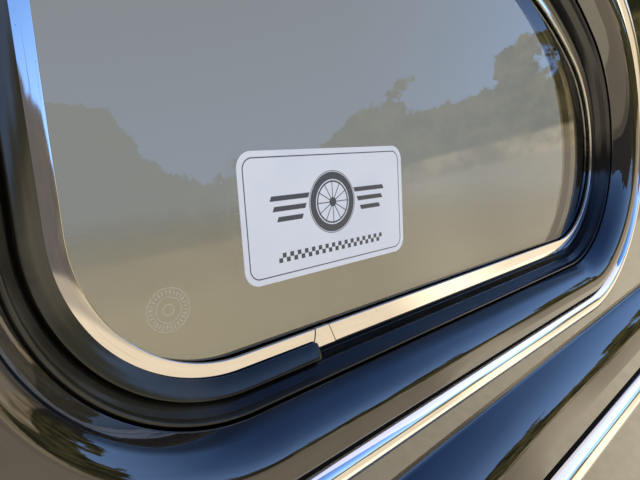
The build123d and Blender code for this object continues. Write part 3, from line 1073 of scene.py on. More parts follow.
def meshed(
    name: str, work: Work, crease: float = 0.0, closed: bool = True
) -> Piece:
    """Object of a working mesh, which is freed.

    Args:
        name: the object's name.
        work: the working mesh.
        crease: angle past which an edge stays sharp; 0 leaves every face flat.
        closed: whether its faces are turned outwards here.

    Returns:
        The object.
    """
    mesh = bpy.data.meshes.new(name)
    work.to_mesh(mesh)
    work.free()
    if closed:
        outward(mesh)
    if crease:
        for face in mesh.polygons:
            face.use_smooth = True
        mesh.set_sharp_from_angle(angle=crease)
    return linked(name, mesh)


def baked(source: Piece, name: str) -> Piece:
    """Plain mesh object of what an object's modifiers make, the source removed.

    Args:
        source: object with live modifiers.
        name: name of the new piece.

    Returns:
        The new object, at the origin.
    """
    bpy.context.view_layer.update()
    graph = bpy.context.evaluated_depsgraph_get()
    mesh = bpy.data.meshes.new_from_object(source.evaluated_get(graph), depsgraph=graph)
    mesh.name = name
    made = linked(name, mesh)
    bpy.data.objects.remove(source)
    return made


def bridged(work: Work, rows: Sequence[list], closed: bool) -> None:
    """Adds the faces between rows of vertices.

    Args:
        work: the working mesh.
        rows: rows of as many vertices each.
        closed: whether each row is a ring.
    """
    for inner, outer in zip(rows, rows[1:]):
        for i in range(len(inner) if closed else len(inner) - 1):
            j = (i + 1) % len(inner)
            work.faces.new((inner[i], inner[j], outer[j], outer[i]))


def dressed(piece: Piece, finish: Finish, *nodes: str) -> Piece:
    """Gives a finished piece its body and material, and hides the CAD nodes it stands for.

    Args:
        piece: the piece, in place.
        finish: its finish.
        nodes: CAD nodes that it replaces.

    Returns:
        The piece.
    """
    if not piece.data.materials:
        piece.data.materials.append(finish.material())
    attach(piece, BODY)
    if nodes:
        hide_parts(*nodes)
    log.info("%s: %d faces", piece.name, len(piece.data.polygons))
    return piece


@dataclass
class Run:
    """Piece to make along a path: its path, its finish and the CAD nodes that it replaces."""

    name: str
    path: Iterable[Vector]
    finish: Finish
    nodes: tuple[str, ...] = ()
    closed: bool = True


class PathTree:
    """Geometry Nodes tree that makes a piece from a path, written once."""

    title = ""
    inputs: tuple[tuple[str, str], ...] = ()

    def __init__(self) -> None:
        """Adds the tree's sockets, its nodes and what ends every such tree."""
        self.tree = bpy.data.node_groups.new(self.title, "GeometryNodeTree")
        face = self.tree.interface
        face.new_socket(name="Path", in_out="INPUT", socket_type="NodeSocketGeometry")
        self.keys = {
            name: face.new_socket(name=name, in_out="INPUT", socket_type=kind).identifier
            for name, kind in (*self.inputs, ("Finish", "NodeSocketMaterial"))
        }
        face.new_socket(name="Piece", in_out="OUTPUT", socket_type="NodeSocketGeometry")
        graph = Graph(self.tree)
        entry = graph.node("NodeGroupInput")
        path = graph.read("GeometryNodeMeshToCurve", 0, {0: entry.outputs["Path"]})
        shape = self.write(graph, entry, path)
        shape = graph.read("GeometryNodeRealizeInstances", 0, {"Geometry": shape})
        sockets = {"Geometry": shape, "Material": entry.outputs["Finish"]}
        piece = graph.read("GeometryNodeSetMaterial", 0, sockets)
        graph.node("NodeGroupOutput", {"Piece": piece})

    def write(self, graph: Graph, entry: Node, path: Wire) -> Wire:
        """Adds the nodes that turn the path into the piece; each tree has its own."""
        return path

    def make(self, run: Run, helper: Piece, values: dict[str, object]) -> Piece:
        """Runs the tree on a path and makes the result a plain mesh.

        Args:
            run: what is made, and along what.
            helper: object that an input names, removed afterwards.
            values: the tree's inputs, by name.

        Returns:
            The piece, dressed.
        """
        source = line_of_edges(run.name + "_path", run.path, run.closed)
        modifier = source.modifiers.new(self.title, "NODES")
        modifier.node_group = self.tree
        for key, value in {**values, "Finish": run.finish.material()}.items():
            modifier[self.keys[key]] = value
        piece = baked(source, run.name)
        bpy.data.objects.remove(helper)
        return dressed(piece, run.finish, *run.nodes)


class SweepTree(PathTree):
    """Node tree that draws a section along a path, with the section's x outboard."""

    title = "section_sweep"
    inputs = (
        ("Section", "NodeSocketObject"),
        ("Outboard", "NodeSocketVector"),
        ("Crease", "NodeSocketFloat"),
    )
    crease = math.radians(40)
    merge = 0.001 * MM

    def write(self, graph: Graph, entry: Node, path: Wire) -> Wire:
        """Adds the sweep's nodes, which store the length and width on the mesh.

        Args:
            graph: the tree's graph.
            entry: the tree's inputs.
            path: the path, as a curve.

        Returns:
            The solid.
        """
        path = self.store(graph, path, "along")
        sockets = {"Curve": path, "Normal": entry.outputs["Outboard"]}
        path = graph.read("GeometryNodeSetCurveNormal", 0, sockets, {"mode": "FREE"})
        sockets = {"Object": entry.outputs["Section"]}
        shape = graph.read("GeometryNodeObjectInfo", "Geometry", sockets)
        shape = graph.read("GeometryNodeMeshToCurve", 0, {0: shape})
        shape = self.store(graph, shape, "across")
        sockets = {"Curve": path, "Profile Curve": shape, "Fill Caps": True}
        solid = graph.read("GeometryNodeCurveToMesh", 0, sockets)
        sockets = {"Geometry": solid, "Distance": self.merge}
        solid = graph.read("GeometryNodeMergeByDistance", 0, sockets)
        angle = graph.read("GeometryNodeInputMeshEdgeAngle", "Unsigned Angle")
        smooth = angle.math("LESS_THAN", graph.wire(entry, "Crease"))
        for domain, flag in (("FACE", True), ("EDGE", smooth)):
            sockets = {"Geometry": solid, "Shade Smooth": flag}
            solid = graph.read("GeometryNodeSetShadeSmooth", 0, sockets, {"domain": domain})
        return solid

    @staticmethod
    def store(graph: Graph, curve: Wire, name: str) -> Wire:
        """Stores the length along a curve on its points.

        Args:
            graph: the tree's graph.
            curve: the curve.
            name: the name it is stored under.

        Returns:
            The curve.
        """
        run = graph.read("GeometryNodeSplineParameter", "Length")
        settings = {"data_type": "FLOAT", "domain": "POINT"}
        sockets = {"Geometry": curve, "Name": name, "Value": run}
        return graph.read("GeometryNodeStoreNamedAttribute", 0, sockets, settings)

    def draw(self, run: Run, section: Sequence[Point], outboard: Vector = OUTBOARD) -> Piece:
        """Draws a section along a path.

        Args:
            run: what is made, and along what.
            section: points of the section: out from the window, then outboard.
            outboard: direction that the section's heights point in.

        Returns:
            The piece.
        """
        points = [Vector((proud, out, 0)) for out, proud in section]
        flat = line_of_edges(run.name + "_section", points, True)
        values = {"Section": flat, "Outboard": outboard, "Crease": self.crease}
        piece = self.make(run, flat, values)
        outward(piece.data)
        return piece


class RepeatTree(PathTree):
    """Node tree that sets copies of a small part along a path, at an even pitch."""

    title = "even_repeat"
    inputs = (
        ("Part", "NodeSocketObject"),
        ("Count", "NodeSocketInt"),
        ("Spin", "NodeSocketVector"),
        ("Seed", "NodeSocketInt"),
    )
    seed = 11

    def write(self, graph: Graph, entry: Node, path: Wire) -> Wire:
        """Adds the nodes that set the copies.

        Args:
            graph: the tree's graph.
            entry: the tree's inputs.
            path: the path, as a curve.

        Returns:
            The copies.
        """
        sockets = {"Curve": path, "Count": entry.outputs["Count"]}
        path = graph.read("GeometryNodeResampleCurve", 0, sockets)
        sockets = {"Object": entry.outputs["Part"]}
        part = graph.read("GeometryNodeObjectInfo", "Geometry", sockets)
        sockets = {
            "Min": (0.0, 0.0, 0.0), "Max": entry.outputs["Spin"], "Seed": entry.outputs["Seed"]
        }
        settings = {"data_type": "FLOAT_VECTOR"}
        turn = graph.read("FunctionNodeRandomValue", "Value", sockets, settings)
        sockets = {"Points": path, "Instance": part, "Rotation": turn}
        return graph.read("GeometryNodeInstanceOnPoints", 0, sockets)

    def lay(self, run: Run, part: Piece, count: int, spin: float = 0.0) -> Piece:
        """Sets copies of a part along a path.

        Args:
            run: what is made, and along what.
            part: the small part, removed afterwards.
            count: how many copies.
            spin: greatest random turn of a copy about the inboard axis.

        Returns:
            The piece.
        """
        values = {"Part": part, "Count": count, "Spin": (0.0, spin, 0.0), "Seed": self.seed}
        return self.make(run, part, values)


@dataclass
class BodySide:
    """Painted body side: raised frame with its rounded band, pillar, cove, shoulder and skirt."""

    outline: Outline
    skin: float = 1.2 * MM
    glass_face: float = 38 * MM
    pillar_proud: float = 28 * MM
    frame_step: float = 5 * MM
    flange_back: float = 2.4 * MM
    flange_bite: float = 11 * MM
    first_slope: float = math.radians(47)
    flank_share: float = 0.2
    heel: tuple[float, float] = (0.02, 0.1 * MM)
    lip_proud: float = 16.4 * MM
    lip_run: float = 3.0 * MM
    lip_round: tuple[Point, ...] = ((0.35 * MM, 1.7 * MM), (0, 1.0 * MM), (0.05 * MM, 0.4 * MM))
    band_steps: int = 34
    edge_round: float = 1.5 * MM
    edge_steps: int = 6
    foot_round: tuple[Point, ...] = (
        (0, 0.5 * MM), (0.15 * MM, 0.15 * MM), (0.5 * MM, 0), (1.2 * MM, 0)
    )
    cove_height: float = 73.7 * MM
    cove_depth: float = 32.2 * MM
    crease_radius: float = 1.2 * MM
    crease_turn: float = math.radians(20)
    shoulder_radius: float = 62 * MM
    shoulder_run: float = 16 * MM
    shoulder_lean: float = math.radians(57)
    skirt_lean: float = math.radians(9.2)
    skirt_height: float = 101.8 * MM
    skirt_split: float = 0.02
    roof_bend: float = 28 * MM
    roof_step: float = 20 * MM
    bend_steps: tuple[int, int, int, int] = (6, 24, 40, 20)
    corner: float = 2 * MM
    sharp: float = math.radians(50)

    def __post_init__(self) -> None:
        """Takes the section's outer limits from the CAD skin."""
        self.low, self.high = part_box("outer_skin")
        self.frame_proud = self.pillar_proud + self.frame_step
        self.pillar_y = -self.glass_face - self.pillar_proud
        self.belt_z = self.low.z + self.skirt_height
        self.cove_z = self.belt_z + self.cove_height
        self.roof_z = self.high.z - self.roof_bend

    def jamb(self) -> list[Loop]:
        """Loops of the welded flange and the jamb, up to the painted lip's edge.

        Returns:
            For each, its points and its height above the glass's face.
        """
        even, tight, low = self.outline.even, self.edge_round, -self.flange_back
        edge = self.outline.aperture
        return [
            (even(edge - self.flange_bite), low),
            (even(edge - tight), low),
            (even(edge - 0.3 * tight), low + 0.3 * tight),
            (even(edge), low + tight),
            (even(edge), self.lip_proud - self.lip_run),
            *((self.outline.band(0, out), self.lip_proud - drop) for out, drop in self.lip_round),
        ]

    def rounded_band(self) -> list[Loop]:
        """Loops of the band: a short heel, a straight flank and a round up to the rim.

        Returns:
            For each, its points and its height above the glass's face.
        """
        first, flank = self.first_slope, self.flank_share
        radius = (1 - flank) / math.sin(first)
        foot = flank * math.tan(first)
        whole = foot + radius * (1 - math.cos(first))
        climb = self.frame_proud - self.lip_proud
        share, rise = self.heel
        spots = [(share, rise / climb), (flank / 2, foot / 2 / whole)]
        for step in range(self.band_steps + 1):
            slope = first * (1 - step / self.band_steps)
            rise = (foot + radius * (math.cos(slope) - math.cos(first))) / whole
            spots.append((1 - radius * math.sin(slope), rise))
        band, start = self.outline.band, self.lip_proud
        return [(band(share, 0), start + rise * climb) for share, rise in spots]

    def frame_edge(self) -> list[Loop]:
        """Loops of the raised frame's rounded edge and its foot on the pillar.

        Returns:
            For each, its points and its height above the glass's face.
        """
        ring, tight = self.outline.frame_ring, self.edge_round
        made = []
        for step in range(self.edge_steps + 1):
            turn = QUARTER_TURN * step / self.edge_steps
            drop = tight * (1 - math.cos(turn))
            made.append((ring(tight * (math.sin(turn) - 1)), self.frame_proud - drop))
        return made + [(ring(out), self.pillar_proud + rise) for out, rise in self.foot_round]

    def lower_run(self) -> list[Point]:
        """Upright section below the pillar: crease, cove, shoulder, run and skirt.

        Returns:
            Points (y, z) from the pillar down.
        """
        top, lean, foot = self.crease_turn, self.shoulder_lean, self.skirt_lean
        tight, shoulder, run = self.crease_radius, self.shoulder_radius, self.shoulder_run
        depth = self.cove_depth - tight * (1 - math.cos(top)) - run * math.sin(foot)
        depth -= shoulder * (math.cos(foot) - math.cos(lean))
        cove = depth / (math.cos(top) - math.cos(lean))
        height = tight * math.sin(top) + cove * (math.sin(lean) - math.sin(top))
        height += shoulder * (math.sin(lean) - math.sin(foot)) + run * math.cos(foot)
        spots = [
            Vector((self.pillar_y, self.cove_z + self.corner)),
            Vector((self.pillar_y, self.belt_z + height)),
        ]
        bends = ((tight, 0, top), (cove, top, lean), (shoulder, lean, foot))
        for (radius, start, end), steps in zip(bends, self.bend_steps):
            chord = radius * 2 * math.sin(abs(end - start) / steps / 2)
            for step in range(steps):
                turn = start + (end - start) * (step + 0.5) / steps
                spots.append(spots[-1] - chord * Vector((math.sin(turn), math.cos(turn))))
        spots.append(spots[-1] - run * Vector((math.sin(foot), math.cos(foot))))
        belt = spots[-1]
        reach = belt.y - self.low.z
        end = Vector((belt.x - reach * math.tan(foot), self.low.z))
        return [(p.x, p.y) for p in (*spots, belt.lerp(end, self.skirt_split), end)]

    def upper_run(self) -> list[Point]:
        """Upright section above the pillar: the roof bend.

        Returns:
            Points (y, z) from the pillar up.
        """
        spots = [(self.pillar_y, self.roof_z - self.corner), (self.pillar_y, self.roof_z)]
        radius = (self.roof_bend**2 + self.roof_step**2) / (2 * self.roof_step)
        turn_all = math.asin(min(1.0, self.roof_bend / radius))
        steps = self.bend_steps[-1]
        for step in range(1, steps + 1):
            turn = turn_all * step / steps
            inward = self.pillar_y + radius * (1 - math.cos(turn))
            spots.append((inward, self.roof_z + radius * math.sin(turn)))
        return spots

    def surface(self) -> Work:
        """Outer surface of the skin, before it gets its thickness.

        Returns:
            The working mesh, its faces pointing outwards.
        """
        work = bmesh.new()
        rings = self.jamb() + self.rounded_band() + self.frame_edge()
        put = self.outline.put
        loops = [[work.verts.new(put(x, z, proud)) for x, z in points] for points, proud in rings]
        bridged(work, loops, True)
        lower, upper = self.lower_run(), self.upper_run()
        for run in (lower, upper):
            sides = (self.low.x, self.high.x)
            bridged(work, [[work.verts.new((x, y, z)) for x in sides] for y, z in run], False)
        self.walls(work, lower[::-1] + upper)
        bmesh.ops.remove_doubles(work, verts=work.verts, dist=0.002 * MM)
        limits = (lower[0][1], upper[0][1])
        edges = [e for e in work.edges if self.on_pillar(e, limits)]
        bmesh.ops.triangle_fill(
            work, use_beauty=True, use_dissolve=False, edges=edges, normal=OUTBOARD
        )
        bmesh.ops.recalc_face_normals(work, faces=work.faces)
        largest = max(work.faces, key=lambda face: face.calc_area())
        well_inboard = Vector((0, 200 * MM, 0))
        if largest.normal.dot(largest.calc_center_median() - well_inboard) < 0:
            bmesh.ops.reverse_faces(work, faces=work.faces)
        return work

    def on_pillar(self, edge: bmesh.types.BMEdge, limits: Point) -> bool:
        """Whether an open edge bounds the pillar's flat face.

        Args:
            edge: the edge.
            limits: the flat face's lower and upper level.

        Returns:
            True where it does.
        """
        near = 0.001 * MM
        inside = all(
            abs(v.co.y - self.pillar_y) < near and limits[0] - near < v.co.z < limits[1] + near
            for v in edge.verts
        )
        return inside and edge.is_boundary

    def walls(self, work: Work, run: list[Point]) -> None:
        """Adds the side, top and bottom walls, back to the mounting plane.

        Args:
            work: the working mesh.
            run: the upright section's points (y, z), from the lower edge up.
        """
        for x in (self.low.x, self.high.x):
            front = [work.verts.new((x, y, z)) for y, z in run]
            back = [work.verts.new((x, 0, z)) for _, z in run]
            bridged(work, [front, back], False)
        for y, z in (run[0], run[-1]):
            corners = ((self.low.x, y), (self.high.x, y), (self.high.x, 0), (self.low.x, 0))
            work.faces.new([work.verts.new((*corner, z)) for corner in corners])

    def build(self) -> None:
        """Builds the painted skin with its thickness and true shading."""
        source = meshed("body_side_surface", self.surface(), self.sharp, closed=False)
        solid = source.modifiers.new("thickness", "SOLIDIFY")
        solid.thickness, solid.offset, solid.use_even_offset = self.skin, -1.0, True
        weighted = source.modifiers.new("normals", "WEIGHTED_NORMAL")
        weighted.keep_sharp, weighted.weight = True, 100
        dressed(baked(source, "body_side"), PAINT, "outer_skin")


@dataclass
class Glazing:
    """Rubber section, its locking strip and the bright trim round the glass."""

    outline: Outline
    sweep: SweepTree
    trim_width: float = 11.5 * MM
    trim_seat: float = 1.9 * MM
    trim_inner: float = 1.6 * MM
    trim_outer: float = 1.3 * MM
    trim_crown: float = 0.25 * MM
    trim_round: float = 0.35 * MM
    joint_from_front: float = 128 * MM
    half_clip: float = 7 * MM
    clip_rise: float = 0.2 * MM
    clip_slack: float = 0.05 * MM
    clip_inner: Point = (-6.3 * MM, 4.4 * MM)
    clip_outer: Point = (-9.1 * MM, 9.4 * MM)
    clip_blend: float = 40 * MM
    clip_bow: float = 1.7
    joint_gap: float = 0.55 * MM
    fit: float = 0.5 * MM
    strip_low: Point = (7.2 * MM, 4.5 * MM)
    strip_lip: float = 0.7 * MM
    strip_high: Point = (16.6 * MM, 9.0 * MM)
    strip_crown: float = 0.5 * MM
    strip_foot: tuple[Point, ...] = (
        (16.9 * MM, -0.6 * MM), (12.4 * MM, 1.8 * MM), (12.1 * MM, 4.5 * MM)
    )
    strip_rounds: Triple = (0.2 * MM, 0.4 * MM, 0.7 * MM)
    strip_middle: Point = (12 * MM, 5 * MM)
    strip_short: float = 6 * MM
    strip_round: float = 2.4 * MM
    strip_pull: float = 0.42
    strip_steps: tuple[float, ...] = (1, 0.7, 0.45, 0.25, 0.1, 0)
    rubber_corners: tuple[Triple, ...] = (
        (1.5, 0, 0), (1.5, 1.9, 0.3), (12.9, 1.9, 0.35), (13.2, 1.0, 0.1), (17.0, -1.0, 0.4),
        (17.6, 1.6, 1.0), (19.3, 7.0, 0.7), (23.0, 11.2, 1.0), (24.0, 14.6, 0.7),
        (25.6, 14.6, 0.9), (27.7, 9.6, 0.3), (27.7, -2.4, 0.2), (16.7, -2.4, 0), (16.7, -5.1, 0),
        (27.7, -5.1, 0.3), (27.7, -7.5, 0.8), (22.2, -11, 2.5), (3.0, -11, 1.6), (1.5, -9.5, 1.0),
        (1.5, -6, 0), (9.3, -6, 0), (9.3, 0, 0),
    )

    def __post_init__(self) -> None:
        """Places the trim's joint along the window."""
        self.joint = self.joint_from_front - self.outline.width / 2

    def rubber_section(self) -> list[Point]:
        """Section of the rubber, from its lip at the glass round to the glass's edge."""
        return soften([tuple(size * MM for size in corner) for corner in self.rubber_corners])

    def strip_section(self) -> list[Point]:
        """Section of the locking strip, lapped over the trim and crowned over the groove.

        Returns:
            Its points.
        """
        lip = (self.strip_low[0], self.strip_low[1] + self.strip_lip)
        crown = crowned(lip, self.strip_high, self.strip_crown)
        low, lip, high = self.strip_rounds
        corners = [(*self.strip_low, low), (*crown[0], lip), *straight(crown[2:-2])]
        corners += [(*crown[-1], high), *straight(self.strip_foot)]
        return soften(corners)[::-1]

    def trim_section(self, grow: float) -> list[Point]:
        """Section of the bright trim.

        Args:
            grow: how much it is thickened by.

        Returns:
            Its points.
        """
        left = (-grow, self.trim_seat + self.trim_inner + grow)
        right = (self.trim_width + grow, self.trim_seat + self.trim_outer + grow)
        crown = crowned(left, right, self.trim_crown, 8)
        corners = [(left[0], self.trim_seat, 0), (*left, self.trim_round), *straight(crown[2:-2])]
        corners += [(*right, self.trim_round), (right[0], self.trim_seat, 0)]
        return soften(corners)[::-1]

    def along_edge(self, side: Side, cut: float) -> list[Vector]:
        """Window's edge on the front or rear side of a cut across the car.

        Args:
            side: which side of the cut is kept.
            cut: the cut's distance to the rear.

        Returns:
            Its points, in the part's frame.
        """
        half = self.outline.height / 2
        rear = side is Side.REAR
        loop = self.outline.even(0)
        kept = [p for p in loop if (p[0] > cut + MM if rear else p[0] < cut - MM)]
        first = max(range(len(kept)), key=lambda i: math.dist(kept[i - 1], kept[i]))
        chain = kept[first:] + kept[:first]
        start, end = (-half, half) if rear else (half, -half)
        return [self.outline.put(x, z, 0) for x, z in ((cut, start), *chain, (cut, end))]

    def across_joint(self, side: Side) -> list[Vector]:
        """Short straight stretch under a joint clip.

        Args:
            side: the lower or the upper edge.

        Returns:
            Its points, in the part's frame.
        """
        reach = self.half_clip - self.fit / 3
        level = self.outline.height / 2
        steps = (-reach, 0, reach)
        if side is Side.LOWER:
            level = -level
        else:
            steps = steps[::-1]
        return [self.outline.put(self.joint + step, level, 0) for step in steps]

    def keystone(self, piece: Piece) -> None:
        """Splays the ends that meet at a joint, so that the clip is wider at the outer edge.

        Args:
            piece: a clip or a half of the trim.
        """
        shape = self.outline
        for vertex in piece.data.vertices:
            x, z = shape.flat(vertex.co)
            from_joint = x - self.joint
            if abs(from_joint) > self.half_clip + self.clip_blend:
                continue
            share = clamped((abs(z) - shape.height / 2) / self.trim_width)
            rear = from_joint > 0
            bow = share if rear else share**self.clip_bow
            target = self.clip_inner[rear] + (self.clip_outer[rear] - self.clip_inner[rear]) * bow
            trim_end = abs(from_joint) > self.half_clip - self.clip_slack
            target += math.copysign(self.joint_gap, from_joint) * (0.5 if trim_end else -0.5)
            beyond = max(0.0, abs(from_joint) - self.half_clip) / self.clip_blend
            within = min(1.0, abs(from_joint) / self.half_clip)
            shift = (target - math.copysign(self.half_clip, from_joint)) * (1 - beyond) * within
            vertex.co += shape.put(shift, 0, 0) - shape.put(0, 0, 0)

    def rounded_end(self, piece: Piece, end: float) -> None:
        """Rounds the locking strip's lower end over, towards the middle of its section.

        Args:
            piece: the strip.
            end: how far to the rear it reaches.
        """
        shape = self.outline
        out, proud = self.strip_middle
        middle = shape.put(end, -shape.height / 2 - out, proud)
        for vertex in piece.data.vertices:
            x, z = shape.flat(vertex.co)
            share = 1 - (end - x) / self.strip_round
            if z > 0 or share <= 0:
                continue
            pull = self.strip_pull * (1 - math.sqrt(max(0.0, 1 - min(share, 1.0) ** 2)))
            aim = middle + shape.put(x, 0, 0) - shape.put(end, 0, 0)
            vertex.co = vertex.co.lerp(aim, pull)

    def build(self) -> None:
        """Builds the rubber, the strip, the trim and its joint clips."""
        run = Run("weatherstrip_rubber", self.outline.ring(0), RUBBER, ("weatherstrip",))
        self.sweep.draw(run, self.rubber_section())
        end, level = self.joint - self.strip_short, -self.outline.height / 2
        strip = self.along_edge(Side.FRONT, self.joint)[:-1]
        lasts = [end - self.strip_round * step for step in self.strip_steps]
        strip += [self.outline.put(x, level, 0) for x in lasts]
        run = Run("locking_strip_rubber", strip, RUBBER, ("locking_strip",), closed=False)
        self.rounded_end(self.sweep.draw(run, self.strip_section()), end)
        section = self.trim_section(0)
        for side, cut in ((Side.FRONT, -self.half_clip), (Side.REAR, self.half_clip)):
            path = self.along_edge(side, self.joint + cut)
            name, node = f"reveal_trim_{side.value}", f"reveal_{side.value}"
            run = Run(name, path, BRIGHT, (node,), closed=False)
            self.keystone(self.sweep.draw(run, section))
        section = self.trim_section(self.clip_rise)
        for side in (Side.LOWER, Side.UPPER):
            name, node = f"trim_clip_{side.value}", f"joint_clip_{side.value}"
            path = self.across_joint(side)
            run = Run(name, path, BRIGHT, (node,), closed=False)
            self.keystone(self.sweep.draw(run, section))


@dataclass
class BodyMouldings:
    """Bright bead round the raised frame and the belt moulding below it."""

    outline: Outline
    sweep: SweepTree
    body: BodySide
    bead_gap: float = 5.8 * MM
    bead_width: float = 16.8 * MM
    bead_edge: float = 0.7 * MM
    bead_crown: float = 5.2 * MM
    belt_gap: float = 3.8 * MM
    belt_width: float = 24.2 * MM
    belt_edge: float = 0.8 * MM
    belt_crown: float = 8.2 * MM
    belt_steps: int = 24
    crown_steps: int = 22
    edge_round: float = 0.5 * MM
    bedding: float = 0.4 * MM
    bead_inset: float = 0.3 * MM
    belt_rise: float = 0.6 * MM
    tuck: float = 0.1 * MM

    def seat(self, start: float, end: float) -> list[Point]:
        """Section of the bedding strip that fills the gap beside a moulding."""
        return [(start, 0), (start, self.bedding), (end, self.bedding), (end, 0)][::-1]

    def section(self, near: float, width: float, edge: float, crown: float) -> list[Point]:
        """Section of a crowned moulding with softened edges.

        Args:
            near: where it starts, out from the path.
            width: its width.
            edge: height of its sides.
            crown: height of its crown above them.

        Returns:
            Its points.
        """
        arc = crowned((near, edge), (near + width, edge), crown, self.crown_steps)
        corners = [(near, 0, 0), (*arc[0], self.edge_round), *straight(arc[1:-1])]
        corners += [(*arc[-1], self.edge_round), (near + width, 0, 0)]
        return soften(corners)[::-1]

    def bead(self) -> None:
        """Builds the bead round the raised frame and its bedding."""
        points = self.outline.frame_ring(self.bead_gap)
        ring = [self.outline.put(x, z, self.body.pillar_proud) for x, z in points]
        section = self.section(0, self.bead_width, self.bead_edge, self.bead_crown)
        self.sweep.draw(Run("bead_bright", ring, BRIGHT, ("bead_moulding",)), section)
        section = self.seat(self.bead_inset - self.bead_gap, self.tuck)
        self.sweep.draw(Run("bead_bedding", ring, BEDDING), section)

    def belt(self) -> None:
        """Builds the belt moulding on the shoulder's foot and its bedding."""
        body, lean = self.body, self.body.skirt_lean
        y, z = min(body.lower_run(), key=lambda spot: abs(spot[1] - body.belt_z))
        part = (body.high.x - body.low.x) / self.belt_steps
        path = [Vector((body.low.x + part * i, y, z)) for i in range(self.belt_steps + 1)]
        outboard = Vector((0, -math.cos(lean), math.sin(lean)))
        section = self.section(self.belt_gap, self.belt_width, self.belt_edge, self.belt_crown)
        run = Run("belt_bright", path, BRIGHT, ("belt_moulding",), closed=False)
        self.sweep.draw(run, section, outboard)
        section = self.seat(-self.belt_rise, self.belt_gap + self.tuck)
        run = Run("belt_bedding", path, BEDDING, closed=False)
        self.sweep.draw(run, section, outboard)

    def build(self) -> None:
        """Builds both mouldings."""
        self.bead()
        self.belt()


@dataclass
class GarnishMoulding:
    """Bright pressed frame on the cabin side, held by oval-head screws."""

    outline: Outline
    sweep: SweepTree
    repeat: RepeatTree
    lip: float = 3 * MM
    sheet: float = 1.5 * MM
    lip_proud: float = -11.6 * MM
    rim_inner: float = 36 * MM
    rim_outer: float = 44 * MM
    rim_proud: float = -41 * MM
    rim_rounds: Point = (0.8 * MM, 0.9 * MM)
    flange_proud: float = -38 * MM
    bulge: float = 7.6 * MM
    bulge_steps: int = 20
    screws: int = 14
    head_radius: float = 3.2 * MM
    head_rise: float = 1.1 * MM
    head_base: float = 0.5 * MM
    head_steps: int = 12
    head_around: int = 48
    head_power: float = 2.2
    head_foot: float = 0.8
    cross_arm: float = 0.42 * MM
    cross_reach: float = 1.9 * MM
    cross_depth: float = 0.8 * MM

    def section(self) -> list[Point]:
        """Section of the pressing, from its lip at the rubber to its rolled outer flange.

        Returns:
            Its points.
        """
        rim, steps = (self.rim_inner, self.rim_proud), self.bulge_steps
        back = (self.rim_inner, self.rim_proud + self.sheet)
        face = crowned((self.lip, self.lip_proud), rim, self.bulge, steps)
        inside = crowned((self.lip + self.sheet, self.lip_proud), back, self.bulge, steps)
        edge = self.rim_outer - self.sheet
        inner_round, outer_round = self.rim_rounds
        corners = [*straight(face[:-1]), (*face[-1], inner_round)]
        corners += [(self.rim_outer, self.rim_proud, outer_round)]
        corners += [(self.rim_outer, self.flange_proud, 0), (edge, self.flange_proud, 0)]
        corners += [(edge, self.rim_proud + self.sheet, 0), *straight(inside[::-1])]
        return soften(corners)

    def head(self) -> Piece:
        """Oval head with a cross recess, turned about the inboard axis.

        Returns:
            The head, to be repeated.
        """
        reach, dent, base = self.cross_reach, self.cross_depth, -self.head_base
        profile = []
        for step in range(1, self.head_steps + 1):
            share = step / self.head_steps
            rise = self.head_rise * (1 - share**self.head_power)
            profile.append((self.head_radius * share, rise))
        profile.append((self.head_radius * self.head_foot, base))
        work = bmesh.new()
        rings = []
        for radius, height in profile:
            ring = []
            for step in range(self.head_around):
                turn = math.tau * step / self.head_around
                x, z = radius * math.cos(turn), radius * math.sin(turn)
                sunk = min(abs(x), abs(z)) < self.cross_arm and radius < reach
                depth = dent * (1 - 0.5 * radius / reach) if sunk else 0.0
                ring.append(work.verts.new((x, height - depth, z)))
            rings.append(ring)
        top, foot = (work.verts.new((0, y, 0)) for y in (self.head_rise - dent, base))
        for i in range(self.head_around):
            j = (i + 1) % self.head_around
            work.faces.new((top, rings[0][i], rings[0][j]))
            work.faces.new((foot, rings[-1][j], rings[-1][i]))
            for inner, outer in zip(rings, rings[1:]):
                work.faces.new((inner[i], outer[i], outer[j], inner[j]))
        return meshed("screw_head", work)

    def build(self) -> None:
        """Builds the moulding and its screws."""
        run = Run("garnish_pressing", self.outline.ring(0), GARNISH, ("garnish_moulding",))
        self.sweep.draw(run, self.section())
        path = self.outline.ring((self.rim_inner + self.rim_outer) / 2, self.rim_proud)
        run = Run("garnish_screws", path, GARNISH)
        self.repeat.lay(run, self.head(), self.screws, math.tau)


def marks(start: float, *steps: float) -> list[float]:
    """Places at steps from a start, the steps in millimetres."""
    return [start + step * MM for step in steps]


def waver(a: float, b: float, rate: float, swing: float, cross_rate: float) -> float:
    """Slow uneven wave between 0 and 1 along a, which b swings to and fro."""
    return 0.5 + 0.5 * math.sin(rate * a + swing * math.sin(cross_rate * b))


